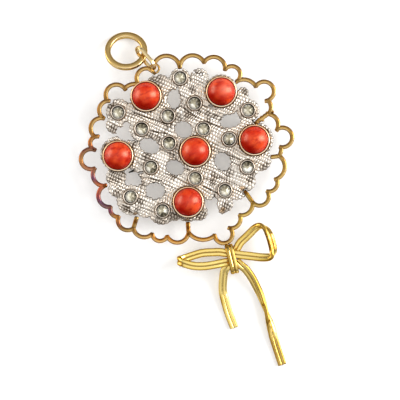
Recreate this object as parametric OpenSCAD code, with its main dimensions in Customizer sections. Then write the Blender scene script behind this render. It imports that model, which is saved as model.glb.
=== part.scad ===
// Pendant brooch: a pierced silver plaque set with coral and grey stones, in a scalloped gold wire frame,
// with a ribbon bow below and a suspension ring above. Millimetres, +Y up the hanging axis, +Z to the front.
// The back lies on a flat surface at Z = 0.

/* [Plaque] */
// Height of the plaque's back above the surface, which the pin fills
back_z = 4.0; // [3.6:0.1:4.6]
// Thickness of the pierced plate
plate_t = 0.9; // [0.8:0.05:1.0]
// Height of the raised rows above the plate
row_h = 0.4; // [0.3:0.05:0.5]
// Distance between two grooves of the chasing
row_pitch = 1.68; // [1.4:0.02:2.4]
// Fall of the rows to the right, in degrees
row_fall = 24; // [0:1:40]
// Width of one scallop of the edge
scallop_w = 1.15; // [1.0:0.05:1.6]
// Depth of the dent between two scallops
scallop_d = 0.2; // [0.1:0.02:0.3]

/* [Stones] */
// Radius of a coral cabochon
coral_r = 3.4; // [3.2:0.05:3.5]
// Radius of the sphere that the cabochon's dome is part of
coral_dome_r = 3.52; // [3.5:0.01:3.8]
// Thickness of a coral bezel's wall
bezel_t = 0.38; // [0.3:0.02:0.45]
// Height of a coral bezel
bezel_h = 2.2; // [1.8:0.1:2.4]
// Radius of a grey stone
stone_r = 1.42; // [1.36:0.02:1.46]
// Room between a grey stone and its collet
stone_room = 0.14; // [0.1:0.01:0.2]
// Height of a grey stone
stone_h = 1.3; // [1.0:0.1:1.6]
// Thickness of a grey stone's collet
collet_t = 0.26; // [0.2:0.02:0.3]
// Height of a collet above the plate
collet_h = 1.6; // [1.3:0.1:1.9]

/* [Frame] */
// Width of the frame's wire, seen from the front
wire_w = 1.0; // [0.9:0.05:1.1]
// Height of the frame's wire
wire_h = 1.1; // [0.9:0.05:1.2]
// Bevel along the wire's edges
wire_bevel = 0.28; // [0.15:0.01:0.35]

/* [Bow] */
// Radius of each of the two round wires of the ribbon
ribbon_r = 0.52; // [0.48:0.01:0.54]
// Depth of the ribbon's middle groove, from the front of its wires
groove_d = 0.24; // [0.15:0.01:0.3]
// Rings between two stations of a ribbon's route
ribbon_steps = 4; // [2:1:5]

/* [Suspension] */
// Outer radius of the suspension ring
ring_r = 5.35; // [5.2:0.05:5.4]
// Width of the suspension ring's band
ring_band = 1.45; // [1.3:0.05:1.5]
// Thickness of the suspension ring
ring_t = 1.3; // [1.1:0.05:1.4]
// Tilt of the suspension ring on the surface, in degrees
ring_tilt = 27; // [25:1:29]
// Length of the link
link_len = 7.5; // [7.4:0.1:7.6]
// Width of the link's oval
link_oval = 4.4; // [4.3:0.1:4.6]
// Thickness of the link's wall
link_wall = 0.55; // [0.5:0.05:0.55]
// Width of the link's band
link_band = 0.95; // [0.8:0.05:0.95]

/* [Pin] */
// Radius of the pin's stem
pin_r = 0.45; // [0.35:0.05:0.5]
// Height of the stem's middle above the surface
pin_z = 1.3; // [1.2:0.05:1.5]

/* [Hidden] */
$fn = 64;

// The jewel lies with its hanging axis leaning left by this angle, and the tables below are measured as it lies:
// x to the right and y up from the plaque's middle. laid() turns them upright and centres the whole jewel.
lean = 24.3;
centre_x = -0.36;
centre_y = 12.6;

gap = 0.06;
plate_top = back_z + plate_t;
wire_z = back_z + wire_h / 2;

gold = [0.83, 0.65, 0.25];
bow_gold = [0.88, 0.72, 0.25];
silver = [0.74, 0.72, 0.69];
coral_red = [0.86, 0.2, 0.1];
stone_grey = [0.62, 0.63, 0.55];
steel = [0.55, 0.55, 0.55];

// Rosettes of the plaque: columns x, y, radius
rosettes = [
    [0, 0, 12.5],
    [-1.75, 18, 2.6],
    [3.1, 18.1, 2.4],
    [0.75, 14.5, 3],
    [4.5, 13.75, 3],
    [8.5, 14.9, 4.1],
    [8.6, 10.9, 2.5],
    [10.4, 11.5, 2.8],
    [14, 14.25, 1.5],
    [13.25, 12.5, 2.25],
    [15.25, 9.9, 2.9],
    [14.25, 6.5, 2.25],
    [12.75, 4.5, 3],
    [17.25, 2.6, 4.4],
    [18.25, -2.5, 2.9],
    [13.5, -1, 2.25],
    [12.7, 1.2, 1.2],
    [12.2, -3.6, 1.3],
    [15, -4.25, 3.1],
    [14.5, -7.75, 2.75],
    [12.5, -10, 2.6],
    [11.25, -6.5, 2.5],
    [9.5, -10.25, 3],
    [9.5, -13.5, 2.1],
    [8.8, -15.1, 1],
    [5.5, -11.1, 1.5],
    [0.25, -13.5, 4.5],
    [3, -15.5, 2.25],
    [-3, -16.4, 1.4],
    [-4.6, -11.8, 1.6],
    [-6.25, -15.25, 3.5],
    [-10.25, -14.25, 2.75],
    [-13.75, -12.5, 3.9],
    [-17.4, -9.5, 2.4],
    [-17.75, -6.75, 2.6],
    [-17.25, -1, 4.5],
    [-13.5, 0.5, 2],
    [-12.25, -3.25, 2.5],
    [-10.9, -8.3, 2.6],
    [-18.1, 6.25, 2.25],
    [-17.1, 9.6, 3.25],
    [-13, 9.25, 3],
    [-9.75, 8.75, 2.25],
    [-11.25, 5.25, 3.25],
    [-10.25, 13.25, 4.1],
    [-7, 15.4, 3.6],
    [-4, 16.5, 1.9],
    [-6.75, 11, 2.25],
];

// Gaps pierced through the plaque: columns x, y, half length, half width, turn in degrees
gaps = [
    [-3.25, 12.75, 2.3, 1.5, 95],
    [-0.9, 5.1, 2.1, 1.9, -30],
    [-15.9, 4.1, 2, 1.4, -35],
    [-9.4, 1, 2.5, 1.7, -20],
    [10.8, 7.2, 2.5, 1.5, 10],
    [8.9, -2.9, 2.2, 1.9, -60],
    [-3, -4.4, 2.2, 1.7, -20],
    [-13.2, -7.4, 1.85, 1.35, -28],
    [-7.9, -10.1, 2.3, 1.8, -10],
];

// Two small round holes in the petal at the top: columns x, y, radius
dots = [
    [1.7, 19.4, 0.32],
    [3.5, 18.9, 0.32],
];

// Coral cabochons: columns x, y
corals = [
    [-10.2, 13.4],
    [8.6, 14.5],
    [-17.2, -1.5],
    [2.05, -0.4],
    [16.8, 2.45],
    [0.3, -13],
];

// Grey stones: columns x, y, turn of the facets in degrees
grey_stones = [
    [-1.7, 18, 0],
    [1.9, 11.65, 10],
    [15.3, 9.9, 25],
    [-17.2, 9.35, 5],
    [-4.75, 8.5, 40],
    [-11.3, 5.25, 15],
    [4.1, 5.25, 30],
    [10.55, 2.65, 20],
    [-4.45, 1.7, 0],
    [-9, -4.3, 35],
    [15.1, -4.3, 10],
    [2.1, -7.1, 25],
    [9.5, -10.1, 5],
    [-14.1, -11.7, 40],
    [-6.1, -15.15, 15],
];

// Dents of the frame's ring, clockwise from the link: columns x, y, rise of the lobe that follows,
// and how far that lobe's wire runs on inwards past its far dent
dents = [
    [-8.4, 20.9, 2.8, 0.35],
    [-1.8, 20.6, 2.4, 0.35],
    [4.25, 21.9, 2.25, 0.4],
    [9.5, 20.1, 2.3, 0.8],
    [12.7, 17.3, 0.9, 0.35],
    [17.2, 15.9, 3.2, 0.9],
    [20.25, 12.4, 0.7, 0.3],
    [20.35, 9, 1.1, 0.7],
    [22.6, 5.25, 3.25, 0.6],
    [23.55, 0.7, 0.15, 0.3],
    [23.1, -1.5, 1.7, 0.7],
    [22.4, -7.25, 1.2, 0.4],
    [20.1, -10.35, 2.15, 0.4],
    [16.4, -13.1, 1.15, 0.4],
    [13.2, -16.3, 1.15, 0.7],
    [10.8, -19.55, 2.9, 0.5],
    [6.9, -21.4, 1.4, 0.35],
    [0.4, -20.65, 2, 0.35],
    [-4.95, -21.6, 1.45, 0.35],
    [-8.7, -21, 1.45, 0.35],
    [-13.4, -19.6, 1.75, 0.35],
    [-17.1, -16.7, 0.85, 0.35],
    [-19.1, -14.25, 2.3, 0.7],
    [-20.6, -8.95, 1.55, 0.35],
    [-23.05, -4.6, 3.5, 0.35],
    [-23, 0, 1.2, 1.2],
    [-23.05, 3.3, 2.1, 0.35],
    [-20.8, 7.9, 1.6, 0.8],
    [-19.9, 12.25, 2.5, 0.7],
    [-15.6, 15.4, 0.5, 0.3],
    [-12.1, 16.4, 2.5, 0.5],
];
closing_dent = [-8.1, 19.4];

// Struts from the frame to the plaque: columns x and y at the frame, x and y at the plaque
struts = [
    [20.3, 9.1, 17, 6.6],
    [23.1, -1.5, 20.9, -1.8],
    [16.4, -13.1, 14.3, -10.1],
    [0.4, -20.7, 0.2, -17.9],
    [-13.4, -19.6, -12.5, -16.6],
];

// Eye for the link at the top dent: x, y, outer radius, inner radius, height, and the radius that the frame's
// wires keep clear of
eye = [-8.1, 20.35, 1.4, 0.84, 0.6, 1.12];

// Stations of the ribbon: columns x, y, z, then the way that its width points, as x, y, z
left_loop_route = [
    [10.9, -25.85, 3.35, 0, 1, 0],
    [9.6, -25.75, 3.35, 0, 1, 0],
    [8.2, -25.55, 3.2, 0, 1, 0.05],
    [6.4, -25.6, 2.9, 0, 1, 0.1],
    [3.75, -25.8, 2.7, -0.08, 1, 0.1],
    [1, -26.6, 2.9, -0.2, 1, 0.05],
    [-1, -27.3, 3.5, -0.2, 1, 0],
    [-1.95, -27.65, 4.5, -0.05, 1, 0],
    [-1, -28.2, 5.6, 0.12, 1, 0],
    [1.5, -28.9, 6.2, 0.08, 1, -0.1],
    [4.15, -29, 6.4, 0, 1, -0.15],
    [6.75, -28.65, 6, -0.1, 1, -0.15],
    [9.5, -28.1, 5.3, -0.12, 1, -0.05],
    [10.9, -27.85, 5.15, -0.1, 1, 0],
];
right_loop_route = [
    [12, -25.25, 3.4, -0.75, 0.65, 0],
    [12.6, -24.4, 3.4, -0.72, 0.68, 0.1],
    [13.4, -23.1, 3.4, -0.7, 0.7, 0.2],
    [15.1, -21.5, 3.5, -0.68, 0.68, 0.3],
    [17, -19.6, 4, -0.6, 0.6, 0.5],
    [18.3, -18.95, 4.7, -0.2, 0.4, 0.9],
    [19.5, -19.5, 5.4, -0.5, 0.1, 0.8],
    [20.4, -20.9, 5.8, -0.75, -0.15, 0.6],
    [21.1, -23, 6, -0.85, -0.2, 0.5],
    [21.5, -25, 6, -0.75, -0.25, 0.6],
    [21.2, -26.4, 5.9, -0.1, -0.4, 0.9],
    [20.1, -26.8, 5.7, 0, -0.8, 0.6],
    [18.3, -26.8, 5.5, 0, -0.9, 0.35],
    [16.2, -26.55, 5.3, 0, -1, 0.2],
    [14, -26.3, 5.2, 0, -1, 0.1],
    [11.4, -26, 5.15, 0, -1, 0],
];
left_tail_route = [
    [10.9, -28.1, 3.5, -0.6, 0.8, 0],
    [9.9, -29.4, 3.2, -0.8, 0.5, 0.25],
    [9.2, -31, 2.5, -0.88, 0.2, 0.4],
    [8.95, -34.9, 1.4, -0.88, 0, 0.45],
    [9.45, -37.6, 0.95, -0.95, -0.2, 0.25],
    [10.4, -40.9, 0.6, -1, -0.3, 0],
    [11.85, -44.65, 0.53, -1, -0.38, 0],
];
right_tail_route = [
    [12.3, -27.7, 3.5, 0.5, 0.85, 0],
    [13.5, -28.85, 3.2, 0.6, 0.78, 0.15],
    [14.8, -30, 2.7, 0.72, 0.6, 0.35],
    [16.3, -32.1, 2.1, 0.78, 0.45, 0.45],
    [17.45, -34.3, 1.6, 0.72, 0.36, 0.6],
    [18.35, -36.2, 1.35, 0.58, 0.28, 0.77],
    [18.95, -37.8, 1.25, 0.42, 0.2, 0.88],
    [19.5, -39.4, 1.2, 0.2, 0.1, 0.97],
    [20.1, -41.3, 1.2, -0.15, 0, 1],
    [20.7, -43.2, 1.15, -0.6, -0.2, 0.77],
    [21.25, -45.2, 0.95, -0.85, -0.25, 0.45],
    [21.8, -47.4, 0.7, -0.93, -0.28, 0.2],
    [22.7, -50.2, 0.53, -0.95, -0.3, 0],
    [23.95, -53.95, 0.53, -0.95, -0.32, 0],
];

// The knot: middle x, y, z, half length and half depth of the ribbon's round, and its lean in degrees
knot_at = [11.2, -27.25, 4.3];
knot_reach = [3.25, 2.4];
knot_lean = 13.5;
knot_rings = 28;

// Middle of the suspension ring, and the link's middle, turn, rise and roll
ring_at = [-15.25, 24.8];
link_at = [-10.35, 22.95, 3.75];
link_turn = -49;
link_rise = 13;
link_roll = -20;

// The pin runs across under the plaque's middle: its turn, its two ends, and how far the stem's tip runs on
// past the catch
pin_turn = -3.4;
pin_hinge_x = 17;
pin_catch_x = -12.4;
pin_tip = 3.3;
hinge_size = [2.4, 2.6];
catch_size = [1.8, 2];

// Turns what is measured as the jewel lies upright, and brings the middle of the jewel's box to the origin
module laid() {
    translate([centre_x, centre_y, 0])
        rotate(-lean)
            children();
}

// Plaque

// Outline of a round of scallops: bumps point out for a rosette, and in for a gap
function scalloped(rx, ry, sign) =
    let (bumps = max(6, round(PI * (rx + ry) / scallop_w)))
    [for (i = [0 : 4 * bumps - 1])
        let (
            turn = 90 * i / bumps,
            dent = scallop_d * (1 - abs(sin(45 * i))) * sign
        )
        [(rx - dent) * cos(turn), (ry - dent) * sin(turn)]];

module plaque_outline() {
    difference() {
        for (r = rosettes)
            translate([r[0], r[1]])
                polygon(scalloped(r[2], r[2], 1));
        for (g = gaps)
            translate([g[0], g[1]])
                rotate(g[4])
                    polygon(scalloped(g[2], g[3], -1));
        for (d = dots)
            translate([d[0], d[1]])
                circle(r = d[2], $fn = 12);
        frame_footprint(gap);
    }
}

// Grooves between the raised rows, and the places of the settings, which stay free of rows
module row_grooves() {
    reach = 30;
    count = floor(reach / row_pitch);
    rotate(-row_fall)
        for (i = [-count : count])
            translate([0, i * row_pitch])
                square([2 * reach, 0.02], center = true);
}

module settings_outline() {
    for (c = corals)
        translate(c)
            circle(r = coral_r + bezel_t + gap, $fn = 48);
    for (s = grey_stones)
        translate([s[0], s[1]])
            circle(r = stone_r + stone_room + collet_t, $fn = 32);
}

module collet() {
    bore = stone_r + stone_room;
    difference() {
        translate([0, 0, plate_top - 0.1])
            cylinder(r = bore + collet_t, h = collet_h + 0.1);
        translate([0, 0, plate_top + 0.25])
            cylinder(r = bore, h = collet_h);
    }
}

module plaque() {
    color(silver)
        laid() {
            translate([0, 0, back_z])
                linear_extrude(plate_t)
                    offset(delta = 0.01)
                        plaque_outline();
            translate([0, 0, plate_top - 0.05])
                linear_extrude(row_h + 0.05)
                    offset(delta = -0.14)
                        difference() {
                            plaque_outline();
                            row_grooves();
                            settings_outline();
                        }
            for (s = grey_stones)
                translate([s[0], s[1], 0])
                    collet();
        }
}

// Settings and stones

module coral_bezel(i) {
    wall = coral_r + gap;
    outer = wall + bezel_t;
    seat = 0.35;
    color(gold)
        laid()
            translate([corals[i][0], corals[i][1], plate_top + 0.03])
                rotate_extrude()
                    polygon([
                        [0, 0], [outer, 0], [outer, bezel_h - 0.25], [wall + 0.12, bezel_h],
                        [wall, bezel_h], [wall, seat], [0, seat],
                    ]);
}

module coral(i) {
    seat_z = plate_top + 0.42;
    wall_h = 0.88;
    color(coral_red)
        laid()
            translate([corals[i][0], corals[i][1], seat_z])
                intersection() {
                    cylinder(r = coral_r, h = 3 * coral_r);
                    translate([0, 0, wall_h])
                        sphere(r = coral_dome_r);
                }
}

// Ring of points of a cut stone: sides, radius, height, first angle
function cut_ring(n, r, z, first) =
    [for (i = [0 : n - 1]) [r * cos(first + 360 * i / n), r * sin(first + 360 * i / n), z]];

module grey_stone(i) {
    place = grey_stones[i];
    sides = 16;
    crown = sides / 2;
    girdle_z = 0.45 * stone_h;
    points = concat(
        cut_ring(sides, stone_r * 0.9, 0, 0),
        cut_ring(sides, stone_r, girdle_z, 0),
        cut_ring(crown, stone_r * 0.64, 0.82 * stone_h, 0),
        cut_ring(crown, stone_r * 0.24, stone_h, 0)
    );
    mid = 2 * sides;
    top = mid + crown;
    faces = concat(
        [[for (k = [0 : sides - 1]) k]],
        [for (k = [0 : sides - 1]) let (n = (k + 1) % sides) [k, sides + k, sides + n, n]],
        [for (k = [0 : crown - 1]) let (g = sides + 2 * k, n = sides + (2 * k + 1) % sides)
            [g, mid + k, n]],
        [for (k = [0 : crown - 1]) let (g = sides + 2 * k + 1, n = sides + (2 * k + 2) % sides)
            [g, mid + (k + 1) % crown, n]],
        [for (k = [0 : crown - 1]) let (g = sides + 2 * k + 1)
            [g, mid + k, mid + (k + 1) % crown]],
        [for (k = [0 : crown - 1]) let (n = (k + 1) % crown) [mid + k, top + k, top + n, mid + n]],
        [[for (k = [crown - 1 : -1 : 0]) top + k]]
    );
    color(stone_grey)
        laid()
            translate([place[0], place[1], plate_top + 0.32])
                rotate(place[2])
                    polyhedron(points = points, faces = faces);
}

// Frame

function arc_radius(chord, rise) = (chord * chord / 4 + rise * rise) / (2 * rise);

// A lobe from dent a to dent b: middle of its circle, radius, first angle and sweep, run on past both dents
function lobe(i) =
    let (
        a = dents[i],
        b = i + 1 < len(dents) ? dents[i + 1] : closing_dent,
        from = [a[0], a[1]],
        to = [b[0], b[1]],
        chord = norm(to - from),
        r = arc_radius(chord, a[2]),
        out = [from[1] - to[1], to[0] - from[0]] / chord,
        middle = (from + to) / 2 + out * (a[2] - r),
        first = atan2(from[1] - middle[1], from[0] - middle[0]),
        last = atan2(to[1] - middle[1], to[0] - middle[0]),
        sweep = (first - last + 720) % 360,
        lead = 0.3 * 180 / (PI * r),
        tail = a[3] * 180 / (PI * r)
    )
    [middle, r, last - tail, sweep + lead + tail];

lobes = [for (i = [0 : len(dents) - 1]) lobe(i)];

module wire_section() {
    w = wire_w / 2;
    h = wire_h / 2;
    c = wire_bevel;
    polygon([
        [w, c - h], [w, h - c], [w - c, h], [c - w, h],
        [-w, h - c], [-w, c - h], [c - w, -h], [w - c, -h],
    ]);
}

// The frame's wires seen from the front, grown by a margin
module frame_footprint(grow) {
    half = wire_w / 2 + grow;
    steps = 24;
    for (l = lobes)
        let (
            past = grow * 180 / (PI * l[1]),
            turns = [for (k = [0 : steps]) l[2] - past + (l[3] + 2 * past) * k / steps]
        )
            translate(l[0])
                polygon(concat(
                    [for (k = [0 : steps]) (l[1] + half) * [cos(turns[k]), sin(turns[k])]],
                    [for (k = [steps : -1 : 0]) (l[1] - half) * [cos(turns[k]), sin(turns[k])]]
                ));
    for (s = struts)
        let (along = [s[2] - s[0], s[3] - s[1]], length = norm(along))
            translate([s[0], s[1]])
                rotate(atan2(along[1], along[0]))
                    translate([0, -half])
                        square([length + grow, 2 * half]);
}

module frame_wires() {
    for (l = lobes)
        translate([l[0][0], l[0][1], wire_z])
            rotate(l[2])
                rotate_extrude(angle = l[3])
                    translate([l[1], 0])
                        wire_section();
    for (s = struts)
        let (along = [s[2] - s[0], s[3] - s[1]], length = norm(along))
            translate([s[0], s[1], wire_z])
                rotate(atan2(along[1], along[0]))
                    rotate([90, 0, 90])
                        linear_extrude(length)
                            wire_section();
}

module scallop_frame() {
    deep = 2 * wire_h;
    color(gold)
        laid() {
            difference() {
                frame_wires();
                translate([eye[0], eye[1], wire_z - deep / 2])
                    cylinder(r = eye[5], h = deep);
                translate([corals[0][0], corals[0][1], plate_top - gap])
                    cylinder(r = coral_r + bezel_t + 2 * gap, h = deep);
            }
            translate([eye[0], eye[1], wire_z - eye[4] / 2])
                difference() {
                    cylinder(r = eye[2], h = eye[4]);
                    translate([0, 0, -1])
                        cylinder(r = eye[3], h = eye[4] + 2);
                }
        }
}

// Bow

// Section of the ribbon, two round wires side by side: across its width, through its thickness
ribbon_section =
    let (r = ribbon_r, angles = [-105, -63, -21, 21, 63, 105])
    concat(
        [for (t = angles) [r + r * cos(t), r * sin(t)]],
        [[0, r - groove_d]],
        [for (t = angles) [-r - r * cos(t), -r * sin(t)]],
        [[0, groove_d - r]]
    );

function unit(v) = v / norm(v);
function place_of(s) = [s[0], s[1], s[2]];
function width_of(s) = [s[3], s[4], s[5]];

// A point of the smooth curve through p1 and p2
function eased(p0, p1, p2, p3, t) =
    (2 * p1 + (p2 - p0) * t + (2 * p0 - 5 * p1 + 4 * p2 - p3) * t * t
        + (3 * p1 - p0 - 3 * p2 + p3) * t * t * t) / 2;

function smooth_route(s) =
    let (last = len(s) - 1)
    concat(
        [for (i = [0 : last - 1], k = [0 : ribbon_steps - 1])
            eased(s[max(i - 1, 0)], s[i], s[i + 1], s[min(i + 2, last)], k / ribbon_steps)],
        [s[last]]
    );

// The section set square to the route at one station
function ribbon_ring(here, along) =
    let (
        raw = width_of(here),
        across = unit(raw - (raw * along) * along),
        through = cross(along, across)
    )
    [for (p = ribbon_section) place_of(here) + p[0] * across + p[1] * through];

// Sides between each ring and the next, as triangles
function ribbon_sides(rings, m, closed) =
    [for (i = [0 : rings - (closed ? 1 : 2)], k = [0 : m - 1], half = [0, 1])
        let (a = i * m, b = ((i + 1) % rings) * m, n = (k + 1) % m)
        half == 0 ? [a + k, b + k, b + n] : [a + k, b + n, a + n]];

module ribbon(stations) {
    route = smooth_route(stations);
    last = len(route) - 1;
    m = len(ribbon_section);
    tangents = [for (i = [0 : last])
        unit(place_of(route[min(i + 1, last)]) - place_of(route[max(i - 1, 0)]))];
    rings = [for (i = [0 : last]) ribbon_ring(route[i], tangents[i])];
    points = concat([for (r = rings, p = r) p], [place_of(route[0]), place_of(route[last])]);
    start = len(points) - 2;
    end = start + 1;
    faces = concat(
        ribbon_sides(last + 1, m, false),
        [for (k = [0 : m - 1]) [start, k, (k + 1) % m]],
        [for (k = [0 : m - 1]) [end, last * m + (k + 1) % m, last * m + k]]
    );
    polyhedron(points = points, faces = faces);
}

module bow_left_loop() { color(bow_gold) laid() ribbon(left_loop_route); }
module bow_right_loop() { color(bow_gold) laid() ribbon(right_loop_route); }
module bow_left_tail() { color(bow_gold) laid() ribbon(left_tail_route); }
module bow_right_tail() { color(bow_gold) laid() ribbon(right_tail_route); }

// The ribbon's round about the loops: a rounded rectangle that stands across them
module bow_knot() {
    m = len(ribbon_section);
    squareness = 0.5;
    places = [for (i = [0 : knot_rings - 1])
        let (t = 360 * i / knot_rings, c = cos(t), s = sin(t))
        [0, knot_reach[0] * sign(c) * pow(abs(c), squareness),
            knot_reach[1] * sign(s) * pow(abs(s), squareness)]];
    rings = [for (i = [0 : knot_rings - 1])
        let (
            before = places[(i + knot_rings - 1) % knot_rings],
            after = places[(i + 1) % knot_rings]
        )
        ribbon_ring(concat(places[i], [1, 0, 0]), unit(after - before))];
    color(bow_gold)
        laid()
            translate(knot_at)
                rotate(knot_lean)
                    polyhedron(
                        points = [for (r = rings, p = r) p],
                        faces = ribbon_sides(knot_rings, m, true)
                    );
}

// Suspension

module stadium(length, width) {
    for (end = [-1, 1])
        translate([end * (length - width) / 2, 0])
            circle(d = width);
    square([length - width, width], center = true);
}

module link_ring() {
    color(gold)
        laid()
            translate(link_at)
                rotate([0, 0, link_turn])
                    rotate([0, -link_rise, 0])
                        rotate([link_roll + 90, 0, 0])
                            translate([0, 0, -link_band / 2])
                                linear_extrude(link_band)
                                    difference() {
                                        stadium(link_len, link_oval);
                                        stadium(link_len - 2 * link_wall, link_oval - 2 * link_wall);
                                    }
}

module suspension_ring() {
    bevel = 0.2;
    inner = ring_r - ring_band;
    lift = (ring_r - bevel) * sin(ring_tilt) + ring_t / 2 * cos(ring_tilt);
    color(gold)
        laid()
            translate([ring_at[0], ring_at[1], lift])
                rotate([-ring_tilt, 0, 0])
                    translate([0, 0, -ring_t / 2])
                        rotate_extrude()
                            polygon([
                                [inner, bevel], [inner + bevel, 0], [ring_r - bevel, 0], [ring_r, bevel],
                                [ring_r, ring_t - bevel], [ring_r - bevel, ring_t],
                                [inner + bevel, ring_t], [inner, ring_t - bevel],
                            ]);
}

// Pin

module brooch_pin() {
    top = back_z - 0.03;
    color(steel)
        translate([centre_x, centre_y, 0])
            rotate(pin_turn) {
                translate([pin_hinge_x - hinge_size[0] / 2, -hinge_size[1] / 2, 0])
                    cube([hinge_size[0], hinge_size[1], top]);
                translate([pin_catch_x - pin_tip, 0, pin_z])
                    rotate([0, 90, 0])
                        cylinder(r = pin_r, h = pin_hinge_x - pin_catch_x + pin_tip);
                difference() {
                    translate([pin_catch_x - catch_size[0] / 2, -catch_size[1] / 2, 0])
                        cube([catch_size[0], catch_size[1], top]);
                    translate([pin_catch_x - catch_size[0], 0, pin_z - pin_r - 0.05])
                        cube([2 * catch_size[0], catch_size[1], 2 * pin_r + 0.1]);
                }
            }
}

plaque();
scallop_frame();
for (i = [1:6]) {
    coral(i - 1);
    coral_bezel(i - 1);
}
for (i = [1:15])
    grey_stone(i - 1);
bow_knot();
bow_left_loop();
bow_right_loop();
bow_left_tail();
bow_right_tail();
link_ring();
suspension_ring();
brooch_pin();
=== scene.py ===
"""A pendant brooch: pierced silver plaque with coral and grey stones, scalloped gold frame, bow and ring.

The sizes are millimetres, measured as the jewel lies: x to the right and y up from the plaque's middle, and z
up from the surface under it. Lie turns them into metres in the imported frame.
"""
import logging
import math
from dataclasses import dataclass
from enum import Enum

import bpy
import numpy as np
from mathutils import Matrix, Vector


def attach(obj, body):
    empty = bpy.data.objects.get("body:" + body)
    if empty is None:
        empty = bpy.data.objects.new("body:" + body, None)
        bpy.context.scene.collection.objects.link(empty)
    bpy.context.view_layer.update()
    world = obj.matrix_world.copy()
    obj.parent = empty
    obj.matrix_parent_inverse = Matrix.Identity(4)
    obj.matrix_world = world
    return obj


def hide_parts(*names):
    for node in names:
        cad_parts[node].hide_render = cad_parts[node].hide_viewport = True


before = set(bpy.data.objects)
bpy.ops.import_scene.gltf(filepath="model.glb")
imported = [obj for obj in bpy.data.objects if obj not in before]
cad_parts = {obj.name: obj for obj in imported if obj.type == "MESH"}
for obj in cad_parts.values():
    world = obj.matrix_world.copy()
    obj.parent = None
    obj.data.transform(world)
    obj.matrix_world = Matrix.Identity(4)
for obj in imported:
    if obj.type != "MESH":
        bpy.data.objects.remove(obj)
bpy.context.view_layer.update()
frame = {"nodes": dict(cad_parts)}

log = logging.getLogger("brooch")

Points = np.ndarray
Faces = list[tuple[int, ...]]
Row = tuple[float, ...]
Table = tuple[Row, ...]
Colour = tuple[float, float, float]
Output = bpy.types.NodeSocket
Material = bpy.types.Material
Profile = list[tuple[float, float]]
Stops = tuple[tuple[float, Colour], ...]

# A distance beyond the jewel, and one too small to see
FAR = 1e9
HAIR = 1e-9


def unit(v: Points) -> Points:
    """Scales vectors to a length of one."""
    return v / np.maximum(np.linalg.norm(v, axis=-1, keepdims=True), HAIR)


def smooth_step(low: float, high: float, x: Points) -> Points:
    """Rises smoothly from 0 where x is low to 1 where it is high."""
    t = np.clip((np.asarray(x) - low) / (high - low), 0.0, 1.0)
    return t * t * (3.0 - 2 * t)


def drift(x: Points, y: Points, scale: float, turn: float) -> Points:
    """A slow wander between -1 and 1, the same on every run.

    Args:
        x: First coordinates in millimetres.
        y: Second coordinates in millimetres.
        scale: Length of one wave in millimetres.
        turn: Phase that makes one wander differ from another.

    Returns:
        One value for each point.
    """
    # The factors turn and shorten the waves, so that they never line up
    k = 2 * math.pi / scale
    first = np.sin(k * (0.91 * x + 0.42 * y) + turn) * np.cos(k * (0.78 * y - 0.35 * x) + 1.7 * turn)
    second = np.sin(1.9 * k * (0.55 * x - 0.8 * y) + 2.3 * turn)
    return 0.7 * first + 0.3 * second


def scatter(a: Points, b: Points | float, turn: float) -> Points:
    """A fixed scattered number between 0 and 1 for each pair of whole numbers, another one for each turn."""
    # The last decimals of a large wave, which look random
    mixed = np.sin(a * 12.9898 + b * 78.233 + turn) * 43758.5453
    return mixed - np.floor(mixed)


@dataclass(frozen=True)
class Lie:
    """How the jewel lies: its hanging axis leans left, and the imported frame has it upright."""

    lean: float = 24.3
    centre_x: float = -0.36
    centre_y: float = 12.6
    metres_in_mm: float = 0.001

    def upright(self, points: Points) -> Points:
        """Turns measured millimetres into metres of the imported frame.

        Args:
            points: An array of x, y, z as the jewel lies.

        Returns:
            The same points upright, in metres.
        """
        c, s = math.cos(math.radians(self.lean)), math.sin(math.radians(self.lean))
        p = np.asarray(points, float)
        out = np.empty_like(p)
        out[..., 0] = p[..., 0] * c + p[..., 1] * s + self.centre_x
        out[..., 1] = p[..., 1] * c - p[..., 0] * s + self.centre_y
        out[..., 2] = p[..., 2]
        return out * self.metres_in_mm


LIE = Lie()


class Axis(Enum):
    """The axes that a shape is turned about, each by the numbers of the other two."""

    X = (1, 2)
    Y = (2, 0)
    Z = (0, 1)


@dataclass
class Shape:
    """A mesh in the making: points in millimetres as the jewel lies, and faces that name them."""

    points: Points
    faces: Faces

    def moved(self, x: float, y: float, z: float = 0.0) -> "Shape":
        """The shape carried by x, y and z."""
        return Shape(self.points + [x, y, z], self.faces)

    def turned(self, axis: Axis, degrees: float) -> "Shape":
        """The shape turned about one axis through the origin.

        Args:
            axis: The axis.
            degrees: The turn by the right-hand rule.

        Returns:
            A new shape.
        """
        c, s = math.cos(math.radians(degrees)), math.sin(math.radians(degrees))
        a, b = axis.value
        p = self.points.copy()
        p[:, a] = self.points[:, a] * c - self.points[:, b] * s
        p[:, b] = self.points[:, a] * s + self.points[:, b] * c
        return Shape(p, self.faces)


def joined(shapes: list[Shape]) -> Shape:
    """All the shapes of a list in one mesh.

    Args:
        shapes: The shapes, at least one.

    Returns:
        One shape.
    """
    whole: list[tuple[int, ...]] = []
    step = 0
    for shape in shapes:
        whole += [tuple(i + step for i in f) for f in shape.faces]
        step += len(shape.points)
    return Shape(np.vstack([s.points for s in shapes]), whole)


def tube_faces(rings: int, m: int, closed: bool) -> Faces:
    """Faces between rings of points, and flat ends where the tube is open.

    Args:
        rings: Number of rings.
        m: Points in each ring.
        closed: True if the last ring joins the first.

    Returns:
        The faces.
    """
    faces: Faces = []
    for i in range(rings if closed else rings - 1):
        a, b = i * m, ((i + 1) % rings) * m
        faces += [(a + k, b + k, b + (k + 1) % m, a + (k + 1) % m) for k in range(m)]
    if not closed:
        faces.append(tuple(range(m)))
        faces.append(tuple((rings - 1) * m + k for k in reversed(range(m))))
    return faces


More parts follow.
